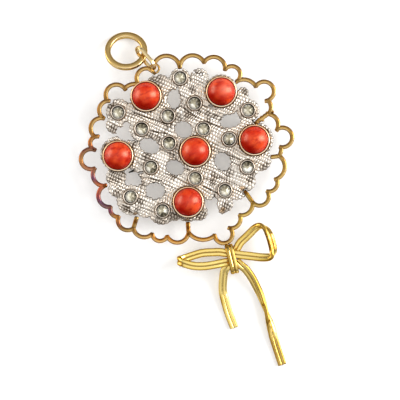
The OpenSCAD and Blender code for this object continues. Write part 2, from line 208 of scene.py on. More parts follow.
def lathe(profile: Profile, segments: int, ripple: float = 0.0, waves: int = 7) -> Shape:
    """Turns a closed outline of radius and height about the z axis.

    Args:
        profile: Radius and height of each point; points on the axis close the form.
        segments: Number of sides round the axis.
        ripple: How far the top edge wavers, as hand-pressed metal does.
        waves: Number of waves of the ripple.

    Returns:
        The turned shape.
    """
    top = max(z for _, z in profile)
    base = min(z for _, z in profile)
    points: list[tuple[float, float, float]] = []
    index: list[list[int]] = []
    for r, z in profile:
        if r <= HAIR:
            points.append((0.0, 0.0, z))
            index.append([len(points) - 1] * segments)
            continue
        row = []
        lift = (z - base) / max(top - base, HAIR)
        for k in range(segments):
            t = 2 * math.pi * k / segments
            waver = ripple * lift * (math.sin(waves * t + r) + 0.6 * math.sin(2.6 * waves * t + 1.0))
            row.append(len(points))
            points.append(((r + waver) * math.cos(t), (r + waver) * math.sin(t), z + 0.5 * waver))
        index.append(row)
    faces: Faces = []
    for here, after in zip(index, [*index[1:], index[0]]):
        for k in range(segments):
            j = (k + 1) % segments
            face = tuple(dict.fromkeys([here[k], here[j], after[j], after[k]]))
            if len(face) > 2:
                faces.append(face)
    return Shape(np.array(points), faces)


def round_bar(width: float, height: float, sides: int, power: float = 2.0) -> Points:
    """Section of a wire, across and through, between an oval and a rounded bar.

    Args:
        width: Full width.
        height: Full height.
        sides: Number of points.
        power: 2 for an oval, more for a squarer bar.

    Returns:
        The section's points.
    """
    t = 2 * math.pi * (np.arange(sides) + 0.5) / sides
    c, s = np.cos(t), np.sin(t)
    x = np.sign(c) * np.abs(c) ** (2.0 / power) * width / 2
    y = np.sign(s) * np.abs(s) ** (2.0 / power) * height / 2
    return np.stack([x, y], axis=1)


def swept(route: Points, across: Points, section: Points, closed: bool, ends: Row = ()) -> Shape:
    """Carries a section along a route.

    Args:
        route: The section's places.
        across: The way that the section's first axis points at each place.
        section: The section's points.
        closed: True if the route ends where it starts.
        ends: Sizes of the section at both ends, from the last ring inwards.

    Returns:
        The swept shape.
    """
    if closed:
        along = unit(np.roll(route, -1, 0) - np.roll(route, 1, 0))
    else:
        along = unit(np.gradient(route, axis=0))
    side = unit(across - (across * along).sum(1, keepdims=True) * along)
    through = np.cross(along, side)
    rings = (
        route[:, None, :]
        + section[None, :, 0, None] * side[:, None, :]
        + section[None, :, 1, None] * through[:, None, :]
    )
    for k, size in enumerate(ends):
        for at in (k, -1 - k):
            rings[at] = route[at] + (rings[at] - route[at]) * size
    return Shape(rings.reshape(-1, 3), tube_faces(len(route), len(section), closed))


def hoop(radius: float, section: Points, steps: int) -> Shape:
    """A ring of wire about the z axis.

    Args:
        radius: Distance of the wire's middle from the axis.
        section: The wire's section, across and through.
        steps: Number of steps round the ring.

    Returns:
        The ring.
    """
    t = np.radians(np.linspace(0.0, 360.0, steps, endpoint=False))
    out = np.stack([np.cos(t), np.sin(t), np.zeros(steps)], axis=1)
    return swept(radius * out, out, section, closed=True)


def eased(stations: Points, steps: int) -> Points:
    """Rows between the rows of a table, on a smooth curve through them.

    Args:
        stations: The table.
        steps: Number of steps from one row to the next.

    Returns:
        The longer table.
    """
    last = len(stations) - 1
    rows = []
    for i in range(last):
        p0, p1 = stations[max(i - 1, 0)], stations[i]
        p2, p3 = stations[i + 1], stations[min(i + 2, last)]
        for k in range(steps):
            t = k / steps
            rows.append(
                0.5 * (2 * p1 + (p2 - p0) * t + (2 * p0 - 5 * p1 + 4 * p2 - p3) * t**2
                       + (3 * p1 - p0 - 3 * p2 + p3) * t**3)
            )
    rows.append(stations[last])
    return np.array(rows)


def along_rings(values: Points, shape: Shape) -> Points:
    """Repeats a section's values on every ring of a swept shape."""
    return np.resize(values, len(shape.points))


def distance(points: Points, x: float, y: float) -> Points:
    """How far each point lies from a place, as seen from the front."""
    return np.hypot(points[:, 0] - x, points[:, 1] - y)


@dataclass(frozen=True)
class WireLook:
    """Painted shade and a painted highlight across a wire, from its middle to its edges as seen from the
    front.
    """

    # The way that the light comes from, across the picture
    towards_light: Row = (0.25, -1)
    # Where the painted shade starts and is full, on the side away from the light and at both edges
    lee: Row = (0.1, 0.85)
    edges: Row = (0.5, 0.9)
    edge_shade: float = 0.95
    # The painted highlight along the crest: its middle and width, and where it fades out near the edges
    crest_at: float = 0.35
    crest_width: float = 0.17
    crest_end: Row = (0.75, 1)

    def shade_and_highlight(self, shape: Shape, m: int, strength: float) -> tuple[Points, Points]:
        """Painted shade and a painted highlight across a wire: shade on its sides and a bright crest.

        Args:
            shape: A swept shape.
            m: Points in each of its rings.
            strength: Share of the painted shade at its darkest.

        Returns:
            The share of painted shade and the share of painted highlight for each point.
        """
        rings = shape.points.reshape(-1, m, 3)
        off = (rings - rings.mean(1, keepdims=True)).reshape(-1, 3)[:, :2]
        out = np.hypot(off[:, 0], off[:, 1])
        widest = np.maximum(np.repeat(out.reshape(-1, m).max(1), m), HAIR)
        # 0 over the wire's middle and 1 at its edges; lit is -1 at the edge away from the light
        reach, lit = out / widest, (off @ unit(np.array(self.towards_light))) / widest
        painted_shade = np.maximum(smooth_step(*self.lee, -lit), self.edge_shade * smooth_step(*self.edges, reach))
        crest = np.exp(-(((lit - self.crest_at) / self.crest_width) ** 2))
        return strength * painted_shade, crest * (1 - smooth_step(*self.crest_end, reach))


WIRE_LOOK = WireLook()


class Slot(Enum):
    """The material slots of the record."""

    SILVER = "silver"
    FRAME_GOLD = "frame_gold"
    BEZEL_GOLD = "bezel_gold"
    BOW_GOLD = "bow_gold"
    RING_GOLD = "ring_gold"
    CORAL = "coral"
    GREY_STONE = "grey_stone"
    PIN_STEEL = "pin_steel"


class Shading(Enum):
    """How the faces of a piece meet."""

    SMOOTH = "smooth"
    FACETED = "faceted"


class Mark(Enum):
    """What is stored on a mesh for its finish to read."""

    # Painted shade, stored together with the blackening in grooves and dark joints
    DIRT_AND_SHADE = "hollow"
    # Painted highlight
    PAINTED_HIGHLIGHT = "polish"
    TONE = "tone"
    HEAT = "heat"
    WARM = "warm"
    CORAL_SHADE = "foot"
    HIGHLIGHT_SPOT = "bloom"
    FACET = "facet"


@dataclass(frozen=True)
class Clouds:
    """Soft patches of noise, which start where the noise passes low and are full at high."""

    scale: float
    detail: float
    low: float
    high: float
    most: float = 1.0
    least: float = 0.0
    stretch: Row = (1, 1, 1)


@dataclass(frozen=True)
class Grain:
    """Fine unevenness of a surface: waves to a metre, finer layers, and height in metres."""

    scale: float
    detail: float
    height: float
    stretch: Row = (1, 1, 1)


def fill_ramp(node: bpy.types.ShaderNodeValToRGB, stops: Stops) -> None:
    """Gives a colour ramp its stops.

    Args:
        node: The ramp.
        stops: Place and colour of each stop.
    """
    elements = node.color_ramp.elements
    while len(elements) < len(stops):
        elements.new(0.5)
    for element, (at, colour) in zip(elements, stops):
        element.position = at
        element.color = (*colour, 1.0)


class Dressing:
    """Helps a finish to lay out the nodes of its material."""

    def __init__(self, name: str) -> None:
        """Starts a material with its shader.

        Args:
            name: Its name.
        """
        self.material = bpy.data.materials.new(name)
        self.material.use_nodes = True
        self.tree = self.material.node_tree
        self.shader = self.tree.nodes["Principled BSDF"]
        self.place = self.tree.nodes.new("ShaderNodeTexCoord")

    def set(self, **sockets: float | Row) -> None:
        """Sets plain values on the shader, with underscores for the spaces in a socket's name."""
        for key, value in sockets.items():
            self.shader.inputs[key.replace("_", " ")].default_value = value

    def link(self, source: Output, socket: str) -> None:
        """Joins an output to one of the shader's sockets."""
        self.tree.links.new(source, self.shader.inputs[socket])

    def noise(self, look: Clouds | Grain) -> Output:
        """Noise in the metal or stone.

        Args:
            look: What the noise is for, with its scale, detail and stretch.

        Returns:
            The output between 0 and 1.
        """
        mapping = self.tree.nodes.new("ShaderNodeMapping")
        mapping.inputs["Scale"].default_value = look.stretch
        self.tree.links.new(self.place.outputs["Object"], mapping.inputs["Vector"])
        node = self.tree.nodes.new("ShaderNodeTexNoise")
        node.inputs["Scale"].default_value = look.scale
        node.inputs["Detail"].default_value = look.detail
        self.tree.links.new(mapping.outputs["Vector"], node.inputs["Vector"])
        return node.outputs["Fac"]

    def spread(self, source: Output, low: float, high: float, to_low: float, to_high: float) -> Output:
        """Maps a value from one range to another.

        Args:
            source: The value's output.
            low: Start of its range.
            high: End of its range.
            to_low: What low and all below it become.
            to_high: What high and all above it become.

        Returns:
            The mapped value's output.
        """
        node = self.tree.nodes.new("ShaderNodeMapRange")
        node.clamp = True
        for key, value in (("From Min", low), ("From Max", high), ("To Min", to_low), ("To Max", to_high)):
            node.inputs[key].default_value = value
        self.tree.links.new(source, node.inputs["Value"])
        return node.outputs["Result"]

    def clouds(self, look: Clouds) -> Output:
        """Cloudy patches, as an output from their least to their most."""
        return self.spread(self.noise(look), look.low, look.high, look.least, look.most)

    def ramp(self, source: Output, stops: Stops) -> Output:
        """Colours along a value.

        Args:
            source: The value's output.
            stops: Place and colour of each stop.

        Returns:
            The colour's output.
        """
        node = self.tree.nodes.new("ShaderNodeValToRGB")
        fill_ramp(node, stops)
        self.tree.links.new(source, node.inputs["Fac"])
        return node.outputs["Color"]

    def mixed(self, factor: Output, first: Output | Colour, second: Output | Colour) -> Output:
        """Mixes two colours.

        Args:
            factor: Share of the second colour.
            first: An output or a plain colour.
            second: An output or a plain colour.

        Returns:
            The mixed colour's output.
        """
        node = self.tree.nodes.new("ShaderNodeMix")
        node.data_type = "RGBA"
        for socket, value in ((node.inputs[0], factor), (node.inputs[6], first), (node.inputs[7], second)):
            if isinstance(value, tuple):
                socket.default_value = (*value, 1.0)
            else:
                self.tree.links.new(value, socket)
        return node.outputs[2]

    def stored(self, mark: Mark, output: str = "Fac") -> Output:
        """What is stored on the mesh under a mark.

        Args:
            mark: The mark.
            output: "Fac" for a value, "Color" for a colour.

        Returns:
            The stored value's output.
        """
        node = self.tree.nodes.new("ShaderNodeAttribute")
        node.attribute_name = mark.value
        return node.outputs[output]

    def uneven(self, look: Clouds) -> None:
        """Lets the roughness change from place to place."""
        self.link(self.clouds(look), "Roughness")

    def roughen(self, grain: Grain) -> None:
        """Raises the surface by a fine grain.

        Args:
            grain: Its looks.
        """
        node = self.tree.nodes.new("ShaderNodeBump")
        node.inputs["Distance"].default_value = grain.height
        self.tree.links.new(self.noise(grain), node.inputs["Height"])
        self.link(node.outputs["Normal"], "Normal")


@dataclass(frozen=True)
class PolishedGold:
    """Gold wire or sheet, polished by hand, with a painted highlight and painted shade mixed into its colour.
    """

    name: str
    bright: Colour
    deep: Colour
    # Colour of the painted highlight
    pale: Colour
    rubbing: Clouds
    # Colour of the painted shade
    shade_tone: Colour = (0.16, 0.09, 0.015)
    edge_tint: Colour = (0.6, 0.42, 0.18)
    patches: Clouds = Clouds(260, 4, 0.38, 0.66)
    scratches: Grain = Grain(900, 3, 0.000006)

    def material(self) -> Material:
        """Lays out the gold's nodes: patches of two tones, then the painted highlight and the painted shade.

        Returns:
            The finish.
        """
        d = Dressing(self.name)
        d.set(Metallic=1.0, Specular_Tint=(*self.edge_tint, 1.0))
        gold = d.mixed(d.clouds(self.patches), self.bright, self.deep)
        gold = d.mixed(d.stored(Mark.PAINTED_HIGHLIGHT), gold, self.pale)
        d.link(d.mixed(d.stored(Mark.DIRT_AND_SHADE), gold, self.shade_tone), "Base Color")
        d.uneven(self.rubbing)
        d.roughen(self.scratches)
        return d.material


@dataclass(frozen=True)
class TarnishedGold:
    """Frame wire whose tone changes round the jewel, with heat colours where it was soldered."""

    name: str
    worn: Colour = (0.16, 0.08, 0.02)
    # Colour of the painted highlight
    pale: Colour = (0.88, 0.63, 0.27)
    # Colour of the painted shade and of the dark joints
    shade_tone: Colour = (0.11, 0.036, 0.003)
    edge_tint: Colour = (0.55, 0.3, 0.12)
    worn_patches: Clouds = Clouds(300, 4, 0.42, 0.75, most=0.6)
    heat_patches: Clouds = Clouds(190, 3, 0.32, 0.68)
    heat_colours: Stops = (
        (0, (0.8, 0.33, 0.06)), (0.3, (0.62, 0.16, 0.04)), (0.5, (0.28, 0.05, 0.07)),
        (0.66, (0.06, 0.03, 0.12)), (0.8, (0.35, 0.12, 0.05)), (1, (0.85, 0.5, 0.14)),
    )
    rubbing: Clouds = Clouds(1500, 2, 0.3, 0.7, most=0.32, least=0.14)
    scratches: Grain = Grain(800, 3, 0.00001)

    def material(self) -> Material:
        """Lays out the nodes: the stored tone, then painted highlight, heat colours, and painted shade with
        dark joints.

        Returns:
            The finish.
        """
        d = Dressing(self.name)
        d.set(Metallic=1.0, Specular_Tint=(*self.edge_tint, 1.0))
        gold = d.mixed(d.clouds(self.worn_patches), d.stored(Mark.TONE, "Color"), self.worn)
        gold = d.mixed(d.stored(Mark.PAINTED_HIGHLIGHT), gold, self.pale)
        colours = d.ramp(d.clouds(self.heat_patches), self.heat_colours)
        gold = d.mixed(d.stored(Mark.HEAT), gold, colours)
        d.link(d.mixed(d.stored(Mark.DIRT_AND_SHADE), gold, self.shade_tone), "Base Color")
        d.uneven(self.rubbing)
        d.roughen(self.scratches)
        return d.material


@dataclass(frozen=True)
class ChasedSilver:
    """Cast silver, bright where it is raised and blackened in its grooves, with painted shade in the same
    dark tone.
    """

    name: str
    bright: Colour = (0.78, 0.725, 0.65)
    rosy: Colour = (0.74, 0.62, 0.5)
    warm: Colour = (0.4, 0.23, 0.09)
    worn: Colour = (0.55, 0.48, 0.4)
    dark: Colour = (0.07, 0.048, 0.03)
    rosy_patches: Clouds = Clouds(330, 4, 0.42, 0.7, most=0.7)
    worn_grain: Clouds = Clouds(3200, 3, 0.3, 0.7, most=0.25)
    # The depth in a groove that stays bright, and the roughness on top and deep in a groove
    bright_depth: float = 0.15
    roughness: Row = (0.24, 0.55)
    grain: Grain = Grain(3200, 3, 0.000025)

    def material(self) -> Material:
        """Lays out the nodes: silver tone, rosy patches, then the dark tone of blackening and painted shade.

        Returns:
            The finish.
        """
        d = Dressing(self.name)
        d.set(Metallic=1.0)
        hollow = d.stored(Mark.DIRT_AND_SHADE)
        silver = d.mixed(d.clouds(self.rosy_patches), self.bright, self.rosy)
        silver = d.mixed(d.stored(Mark.WARM), silver, self.warm)
        silver = d.mixed(d.clouds(self.worn_grain), silver, self.worn)
        d.link(d.mixed(d.spread(hollow, self.bright_depth, 1.0, 0.0, 1.0), silver, self.dark), "Base Color")
        d.link(d.spread(hollow, 0.0, 1.0, *self.roughness), "Roughness")
        d.roughen(self.grain)
        return d.material


@dataclass(frozen=True)
class PolishedCoral:
    """Red coral, glossy, with faint clouds, painted highlights, and painted shade at its foot and on one
    side.
    """

    name: str
    bright: Colour = (0.48, 0.015, 0.002)
    # Tone of the painted shade
    deep: Colour = (0.22, 0.001, 0.0002)
    cloud: Colour = (0.64, 0.06, 0.01)
    vein: Colour = (0.34, 0.005, 0.001)
    # Tone of the painted highlights
    pale: Colour = (0.85, 0.3, 0.2)
    edge_tint: Colour = (1.0, 0.82, 0.6)
    roughness: float = 0.27
    # Light in the stone: its share, its depth in metres and its reach in red, green and blue
    glow: float = 0.1
    glow_depth: float = 0.001
    glow_reach: Row = (1, 0.2, 0.08)
    # Gloss on the dome and at its foot, and the share of foot that has the second
    gloss: Row = (0.36, 0.02)
    gloss_end: float = 0.8
    clouds: Clouds = Clouds(330, 5, 0.4, 0.66, most=0.9)
    veins: Clouds = Clouds(520, 3, 0.5, 0.68, most=0.85, stretch=(1, 1.8, 1))
    grain: Grain = Grain(400, 2, 0.00002)

    def material(self) -> Material:
        """Lays out the coral's nodes: clouds and veins, painted highlights, then the painted shade.

        Returns:
            The finish.
        """
        d = Dressing(self.name)
        d.set(Roughness=self.roughness, Specular_Tint=(*self.edge_tint, 1.0), Subsurface_Weight=self.glow,
              Subsurface_Scale=self.glow_depth, Subsurface_Radius=self.glow_reach)
        foot = d.stored(Mark.CORAL_SHADE)
        d.link(d.spread(foot, 0.0, self.gloss_end, *self.gloss), "Specular IOR Level")
        stone = d.mixed(d.clouds(self.clouds), self.bright, self.cloud)
        stone = d.mixed(d.clouds(self.veins), stone, self.vein)
        stone = d.mixed(d.stored(Mark.HIGHLIGHT_SPOT), stone, self.pale)
        d.link(d.mixed(foot, stone, self.deep), "Base Color")
        d.roughen(self.grain)
        return d.material


@dataclass(frozen=True)
class CutGreyStone:
    """A pale greenish grey stone whose facets carry painted light and shade, bright ones over a dark back."""

    name: str
    tones: Stops = (
        (0, (0.06, 0.05, 0.03)), (0.3, (0.2, 0.17, 0.11)), (0.55, (0.45, 0.41, 0.29)),
        (0.75, (0.76, 0.71, 0.55)), (1, (1, 0.98, 0.88)),
    )
    fleck: Colour = (0.3, 0.29, 0.22)
    metallic: float = 0.2
    roughness: float = 0.2
    flecks: Clouds = Clouds(1100, 4, 0.5, 0.8, most=0.2)
    grain: Grain = Grain(1400, 2, 0.000004)

    def material(self) -> Material:
        """Lays out the stone's nodes: the facets' painted light and shade with faint flecks.

        Returns:
            The finish.
        """
        d = Dressing(self.name)
        d.set(Metallic=self.metallic, Roughness=self.roughness)
        facet = d.ramp(d.stored(Mark.FACET), self.tones)
        d.link(d.mixed(d.clouds(self.flecks), facet, self.fleck), "Base Color")
        d.roughen(self.grain)
        return d.material


@dataclass(frozen=True)
class DrawnSteel:
    """Plain drawn metal of the pin, with draw marks along it."""

    name: str
    light: Colour = (0.05, 0.048, 0.045)
    dark: Colour = (0.015, 0.014, 0.013)
    marks: Clouds = Clouds(900, 3, 0.35, 0.65, stretch=(0.08, 1, 1))
    rubbing: Clouds = Clouds(900, 3, 0.3, 0.7, most=0.5, least=0.3, stretch=(0.08, 1, 1))
    grain: Grain = Grain(900, 3, 0.00001, stretch=(0.08, 1, 1))

    def material(self) -> Material:
        """Lays out the pin's nodes.

        Returns:
            The finish.
        """
        d = Dressing(self.name)
        d.set(Metallic=1.0)
        d.link(d.mixed(d.clouds(self.marks), self.light, self.dark), "Base Color")
        d.uneven(self.rubbing)
        d.roughen(self.grain)
        return d.material


@dataclass(frozen=True)
class Finishes:
    """One of each finish that the jewel has."""

    frame_gold: Material
    bow_gold: Material
    ring_gold: Material
    bezel_gold: Material
    silver: Material
    coral: Material
    grey_stone: Material
    steel: Material

    @classmethod
    def mixed(cls) -> "Finishes":
        """Makes every finish once.

        Returns:
            The finishes.
        """
        return cls(
            frame_gold=TarnishedGold("frame_gold").material(),
            bow_gold=PolishedGold(
                "bow_gold", (0.79, 0.57, 0.14), (0.7, 0.47, 0.08), (0.95, 0.73, 0.25),
                Clouds(2200, 2, 0.3, 0.7, most=0.3, least=0.14),
                shade_tone=(0.22, 0.09, 0.006), scratches=Grain(900, 3, 0.000003),
            ).material(),
            ring_gold=PolishedGold(
                "ring_gold", (0.78, 0.54, 0.2), (0.66, 0.42, 0.14), (0.95, 0.78, 0.46),
                Clouds(2200, 2, 0.3, 0.7, most=0.27, least=0.126),
            ).material(),
            bezel_gold=PolishedGold(
                "bezel_gold", (0.98, 0.69, 0.43), (0.85, 0.53, 0.29), (1.0, 0.79, 0.56),
                Clouds(2200, 2, 0.3, 0.7, most=0.45, least=0.21),
                shade_tone=(0.14, 0.055, 0.015),
            ).material(),
            silver=ChasedSilver("silver").material(),
            coral=PolishedCoral("coral").material(),
            grey_stone=CutGreyStone("grey_stone").material(),
            steel=DrawnSteel("steel").material(),
        )


def shown(name: str, data: bpy.types.ID) -> bpy.types.Object:
    """Puts a mesh, light or camera into the scene.

    Args:
        name: Name of the object.
        data: What it shows.

    Returns:
        The object.
    """
    obj = bpy.data.objects.new(name, data)
    bpy.context.scene.collection.objects.link(obj)
    return obj


def piece(name: str, shape: Shape, material: Material, stands_for: tuple[str, ...],
          shading: Shading = Shading.SMOOTH, stored: dict[Mark, Points] | None = None) -> None:
    """Makes one piece of the jewel from a shape, dresses it and lets it ride on the frame.

    Args:
        name: Name of the piece.
        shape: Its mesh as the jewel lies.
        material: Its finish.
        stands_for: The frame's nodes that it replaces.
        shading: Smooth or faceted.
        stored: Values for each point that the finish reads, one or four to a point.
    """
    mesh = bpy.data.meshes.new(name)
    mesh.from_pydata(LIE.upright(shape.points).tolist(), [], shape.faces)
    mesh.polygons.foreach_set("use_smooth", [shading is Shading.SMOOTH] * len(mesh.polygons))
    for mark, values in (stored or {}).items():
        kind, field = ("FLOAT", "value") if values.ndim == 1 else ("FLOAT_COLOR", "color")
        layer = mesh.attributes.new(mark.value, kind, "POINT")
        layer.data.foreach_set(field, values.astype(np.float32).ravel())
    mesh.materials.append(material)
    mesh.validate()
    obj = shown(name, mesh)
    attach(obj, "root")
    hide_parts(*stands_for)
    log.info("%s: %d points, %d faces", name, len(mesh.vertices), len(mesh.polygons))


@dataclass(frozen=True)
class Cup:
    """Outline of a round holder: rows out from a wall, and up from the base or down from the top."""

    outer: float
    inner: float
    base: float
    top: float
    foot: Table
    outer_lip: Table
    inner_lip: Table
    floor: float = 0.35

    def profile(self) -> Profile:
        """The closed outline, as radius and height of each point."""
        return [
            (0.0, self.base),
            *((self.outer + out, self.base + up) for out, up in self.foot),
            *((self.outer + out, self.top - down) for out, down in self.outer_lip),
            *((self.inner + out, self.top - down) for out, down in self.inner_lip),
            (self.inner, self.base + self.floor),
            (0.0, self.base + self.floor),
        ]


@dataclass(frozen=True)
class Layout:
    """Where the stones sit: columns x and y, and for a grey stone the turn of its facets in degrees."""

    corals: Table = (
        (-10.2, 13.4), (8.6, 14.5), (-17.2, -1.5), (2.05, -0.4), (16.8, 2.45), (0.3, -13),
    )
    grey_stones: Table = (
        (-1.7, 18, 0), (1.9, 11.65, 10), (15.3, 9.9, 25), (-17.2, 9.35, 5), (-4.75, 8.5, 40),
        (-11.3, 5.25, 15), (4.1, 5.25, 30), (10.55, 2.65, 20), (-4.45, 1.7, 0), (-9, -4.3, 35),
        (15.1, -4.3, 10), (2.1, -7.1, 25), (9.5, -10.1, 5), (-14.1, -11.7, 40), (-6.1, -15.15, 15),
    )
    plate_top: float = 4.9
    bezel_outer: float = 3.84
    collet_bore: float = 1.56
    collet_outer: float = 1.82


LAYOUT = Layout()


@dataclass(frozen=True)
class ScallopFrame:
    """Gold wire in a ring of lobes, with struts to the plaque and the eye for the link."""

    wire_width: float = 1.12
    wire_height: float = 1.1
    wire_squareness: float = 3.0
    middle_z: float = 4.55
    # How far each lobe runs on past its first dent, and the steps along a wire
    lead: float = 0.3
    step: float = 0.22
    fewest_steps: int = 8
    strut_steps: int = 12
    wire_sides: int = 24
    eye_sides: int = 16
    # Size of a wire's last ring of points and of the one before it, as shares of the wire
    end_sizes: Row = (0.72, 0.97)
    # Dents between lobes: x, y, and the rise of the lobe that starts there and its run past its end
    dents: Table = (
        (-8.4, 20.9, 2.8, 0.35), (-1.8, 20.6, 2.4, 0.35), (4.25, 21.9, 2.25, 0.4), (9.5, 20.1, 2.3, 0.8),
        (12.7, 17.3, 0.9, 0.35), (17.2, 15.9, 3.2, 0.9), (20.25, 12.4, 0.7, 0.3), (20.35, 9, 1.1, 0.7),
        (22.6, 5.25, 3.25, 0.6), (23.55, 0.7, 0.15, 0.3), (23.1, -1.5, 1.7, 0.7), (22.4, -7.25, 1.2, 0.4),
        (20.1, -10.35, 2.15, 0.4), (16.4, -13.1, 1.15, 0.4), (13.2, -16.3, 1.15, 0.7),
        (10.8, -19.55, 2.9, 0.5), (6.9, -21.4, 1.4, 0.35), (0.4, -20.65, 2, 0.35), (-4.95, -21.6, 1.45, 0.35),
        (-8.7, -21, 1.45, 0.35), (-13.4, -19.6, 1.75, 0.35), (-17.1, -16.7, 0.85, 0.35),
        (-19.1, -14.25, 2.3, 0.7), (-20.6, -8.95, 1.55, 0.35), (-23.05, -4.6, 3.5, 0.35), (-23, 0, 1.2, 1.2),
        (-23.05, 3.3, 2.1, 0.35), (-20.8, 7.9, 1.6, 0.8), (-19.9, 12.25, 2.5, 0.7), (-15.6, 15.4, 0.5, 0.3),
        (-12.1, 16.4, 2.5, 0.5),
    )
    closing_dent: Row = (-8.1, 19.4)
    # Beads of solder at the upper right: x, y and radius
    solder_beads: Table = (
        (17.25, 6.35, 0.5), (17.9, 7.6, 0.42), (18.6, 8.15, 0.44), (19.35, 8.65, 0.42), (20, 9.25, 0.4),
        (18.9, 7.45, 0.4), (21.35, 9.5, 0.42),
    )
    # Both ends of each strut: x, y, x and y
    struts: Table = (
        (20.3, 9.1, 17, 6.6), (23.1, -1.5, 20.9, -1.8), (16.4, -13.1, 14.3, -10.1), (0.4, -20.7, 0.2, -17.9),
        (-13.4, -19.6, -12.5, -16.6),
    )
    eye_at: Row = (-8.1, 20.35)
    # The eye's inner and outer radius, height and steps, and how far the wires reach into it
    eye_radii: Row = (0.84, 1.4)
    eye_height: float = 0.6
    eye_steps: int = 48
    eye_overlap: float = 0.15
    # Tone of the wire by its bearing from the top, in degrees to the right
    tones: Stops = (
        (0, (0.35, 0.19, 0.04)), (45, (0.39, 0.22, 0.06)), (80, (0.35, 0.19, 0.04)),
        (108, (0.39, 0.24, 0.06)), (125, (0.32, 0.19, 0.03)), (140, (0.47, 0.31, 0.06)),
        (155, (0.35, 0.18, 0.03)), (165, (0.51, 0.22, 0.03)), (185, (0.53, 0.21, 0.03)),
        (196, (0.54, 0.21, 0.03)), (205, (0.43, 0.21, 0.06)), (212, (0.39, 0.21, 0.06)),
        (217, (0.23, 0.13, 0.03)), (222, (0.21, 0.07, 0.04)), (227, (0.44, 0.18, 0.04)),
        (231, (0.18, 0.045, 0.09)), (235, (0.1, 0.035, 0.11)), (239, (0.1, 0.045, 0.16)),
        (243, (0.32, 0.03, 0.07)), (248, (0.55, 0.11, 0.04)), (253, (0.14, 0.05, 0.12)),
        (257, (0.3, 0.1, 0.08)), (264, (0.43, 0.19, 0.06)), (270, (0.16, 0.05, 0.05)),
        (275, (0.43, 0.13, 0.03)), (281, (0.33, 0.16, 0.04)), (325, (0.37, 0.2, 0.05)),
        (360, (0.35, 0.19, 0.04)),
    )
    # Bearings where the heat colours start and are full, and where they start to fade and end
    heat_start: Row = (205, 228)
    heat_end: Row = (268, 292)
    # Dark places at joints and strut ends, partly dark joints and partly painted shade: x, y and reach
    dark_joints: Table = (
        (17, 6.6, 0.95), (18.2, 7, 0.6), (21.3, 9.4, 0.6), (0.2, -19.4, 1.1), (0.2, -18.2, 0.9),
        (-12.9, -17.9, 0.9), (0.3, -21, 0.8), (14.6, -10.6, 1), (-8.7, -21, 0.7), (10.8, -19.6, 0.7),
        (-20.4, -9.1, 0.8),
    )
    joint_dark: float = 0.95
    dent_dark: float = 0.5
    dent_reach: float = 0.95
    # The part of a dark place's reach that is fully dark
    dark_core: float = 0.3
    # The way that the lit side of a wire faces, and how squarely where its painted light starts and is full
    lit_side_way: Row = (0.75, -0.66)
    lit_side_range: Row = (0.15, 0.75)
    # What the lit side takes off the painted shade, and the painted highlight that it gets
    lit_side_clears: float = 0.8
    lit_side_highlight: float = 0.9
    # Strength of the painted shade on the wires and the eye, and fixed dark and pale shares on the solder
    # beads
    wire_shade: float = 0.85
    eye_shade: float = 0.6
    solder_dirt: float = 0.25
    solder_polish: float = 0.3
    # The share of heat colours and of painted highlight, and what heat takes off the painted shade and
    # highlight
    heat_share: float = 0.12
    highlight_share: float = 0.85
    heat_off_shade: float = 0.4
    heat_off_highlight: float = 0.6

    def lobes(self) -> list[tuple[float, float, float, float, float]]:
        """Works out the lobes' arcs from the dents between them.

        Returns:
            Middle x and y, radius, first angle and sweep in degrees of each.
        """
        found = []
        ends = [*self.dents[1:], self.closing_dent]
        for (x0, y0, rise, run_on), (x1, y1, *_) in zip(self.dents, ends):
            start, stop = np.array((x0, y0)), np.array((x1, y1))
            chord = float(np.linalg.norm(stop - start))
            r = (chord * chord / 4 + rise * rise) / (2 * rise)
            out = np.array([y0 - y1, x1 - x0]) / chord
            mx, my = (start + stop) / 2 + out * (rise - r)
            first = math.degrees(math.atan2(y0 - my, x0 - mx))
            last = math.degrees(math.atan2(y1 - my, x1 - mx))
            per_mm = 180.0 / (math.pi * r)
            sweep = (first - last) % 360 + (self.lead + run_on) * per_mm
            found.append((mx, my, r, last - run_on * per_mm, sweep))
        return found

    def clearance(self, x: Points, y: Points) -> Points:
        """Measures how far points lie from the middle of the nearest wire, as seen from the front.

        Args:
            x: Points across.
            y: Points up.

        Returns:
            One distance for each point.
        """
        best = np.full(np.shape(x), FAR)
        for mx, my, r, first, sweep in self.lobes():
            angle = (np.degrees(np.arctan2(y - my, x - mx)) - first) % 360
            on_arc = np.abs(np.hypot(x - mx, y - my) - r)
            ends = []
            for t in np.radians([first, first + sweep]):
                ends.append(np.hypot(x - mx - r * math.cos(t), y - my - r * math.sin(t)))
            best = np.minimum(best, np.where(angle <= sweep, on_arc, np.minimum(*ends)))
        for x0, y0, x1, y1 in self.struts:
            dx, dy = x1 - x0, y1 - y0
            length = math.hypot(dx, dy)
            along = ((x - x0) * dx + (y - y0) * dy) / length
            off = np.abs((y - y0) * dx - (x - x0) * dy) / length
            past = np.maximum(-along, along - length)
            best = np.minimum(best, np.where(past > 0.0, np.maximum(off, past + self.wire_width / 2), off))
        return best

    def wire(self, route: Points) -> Shape:
        """One stretch of wire with rounded ends.

        Args:
            route: The wire's places, at one height.

        Returns:
            The wire.
        """
        along = unit(np.gradient(route, axis=0))
        across = np.stack([-along[:, 1], along[:, 0], np.zeros(len(along))], axis=1)
        section = round_bar(self.wire_width, self.wire_height, self.wire_sides, self.wire_squareness)
        return swept(route, across, section, closed=False, ends=self.end_sizes)

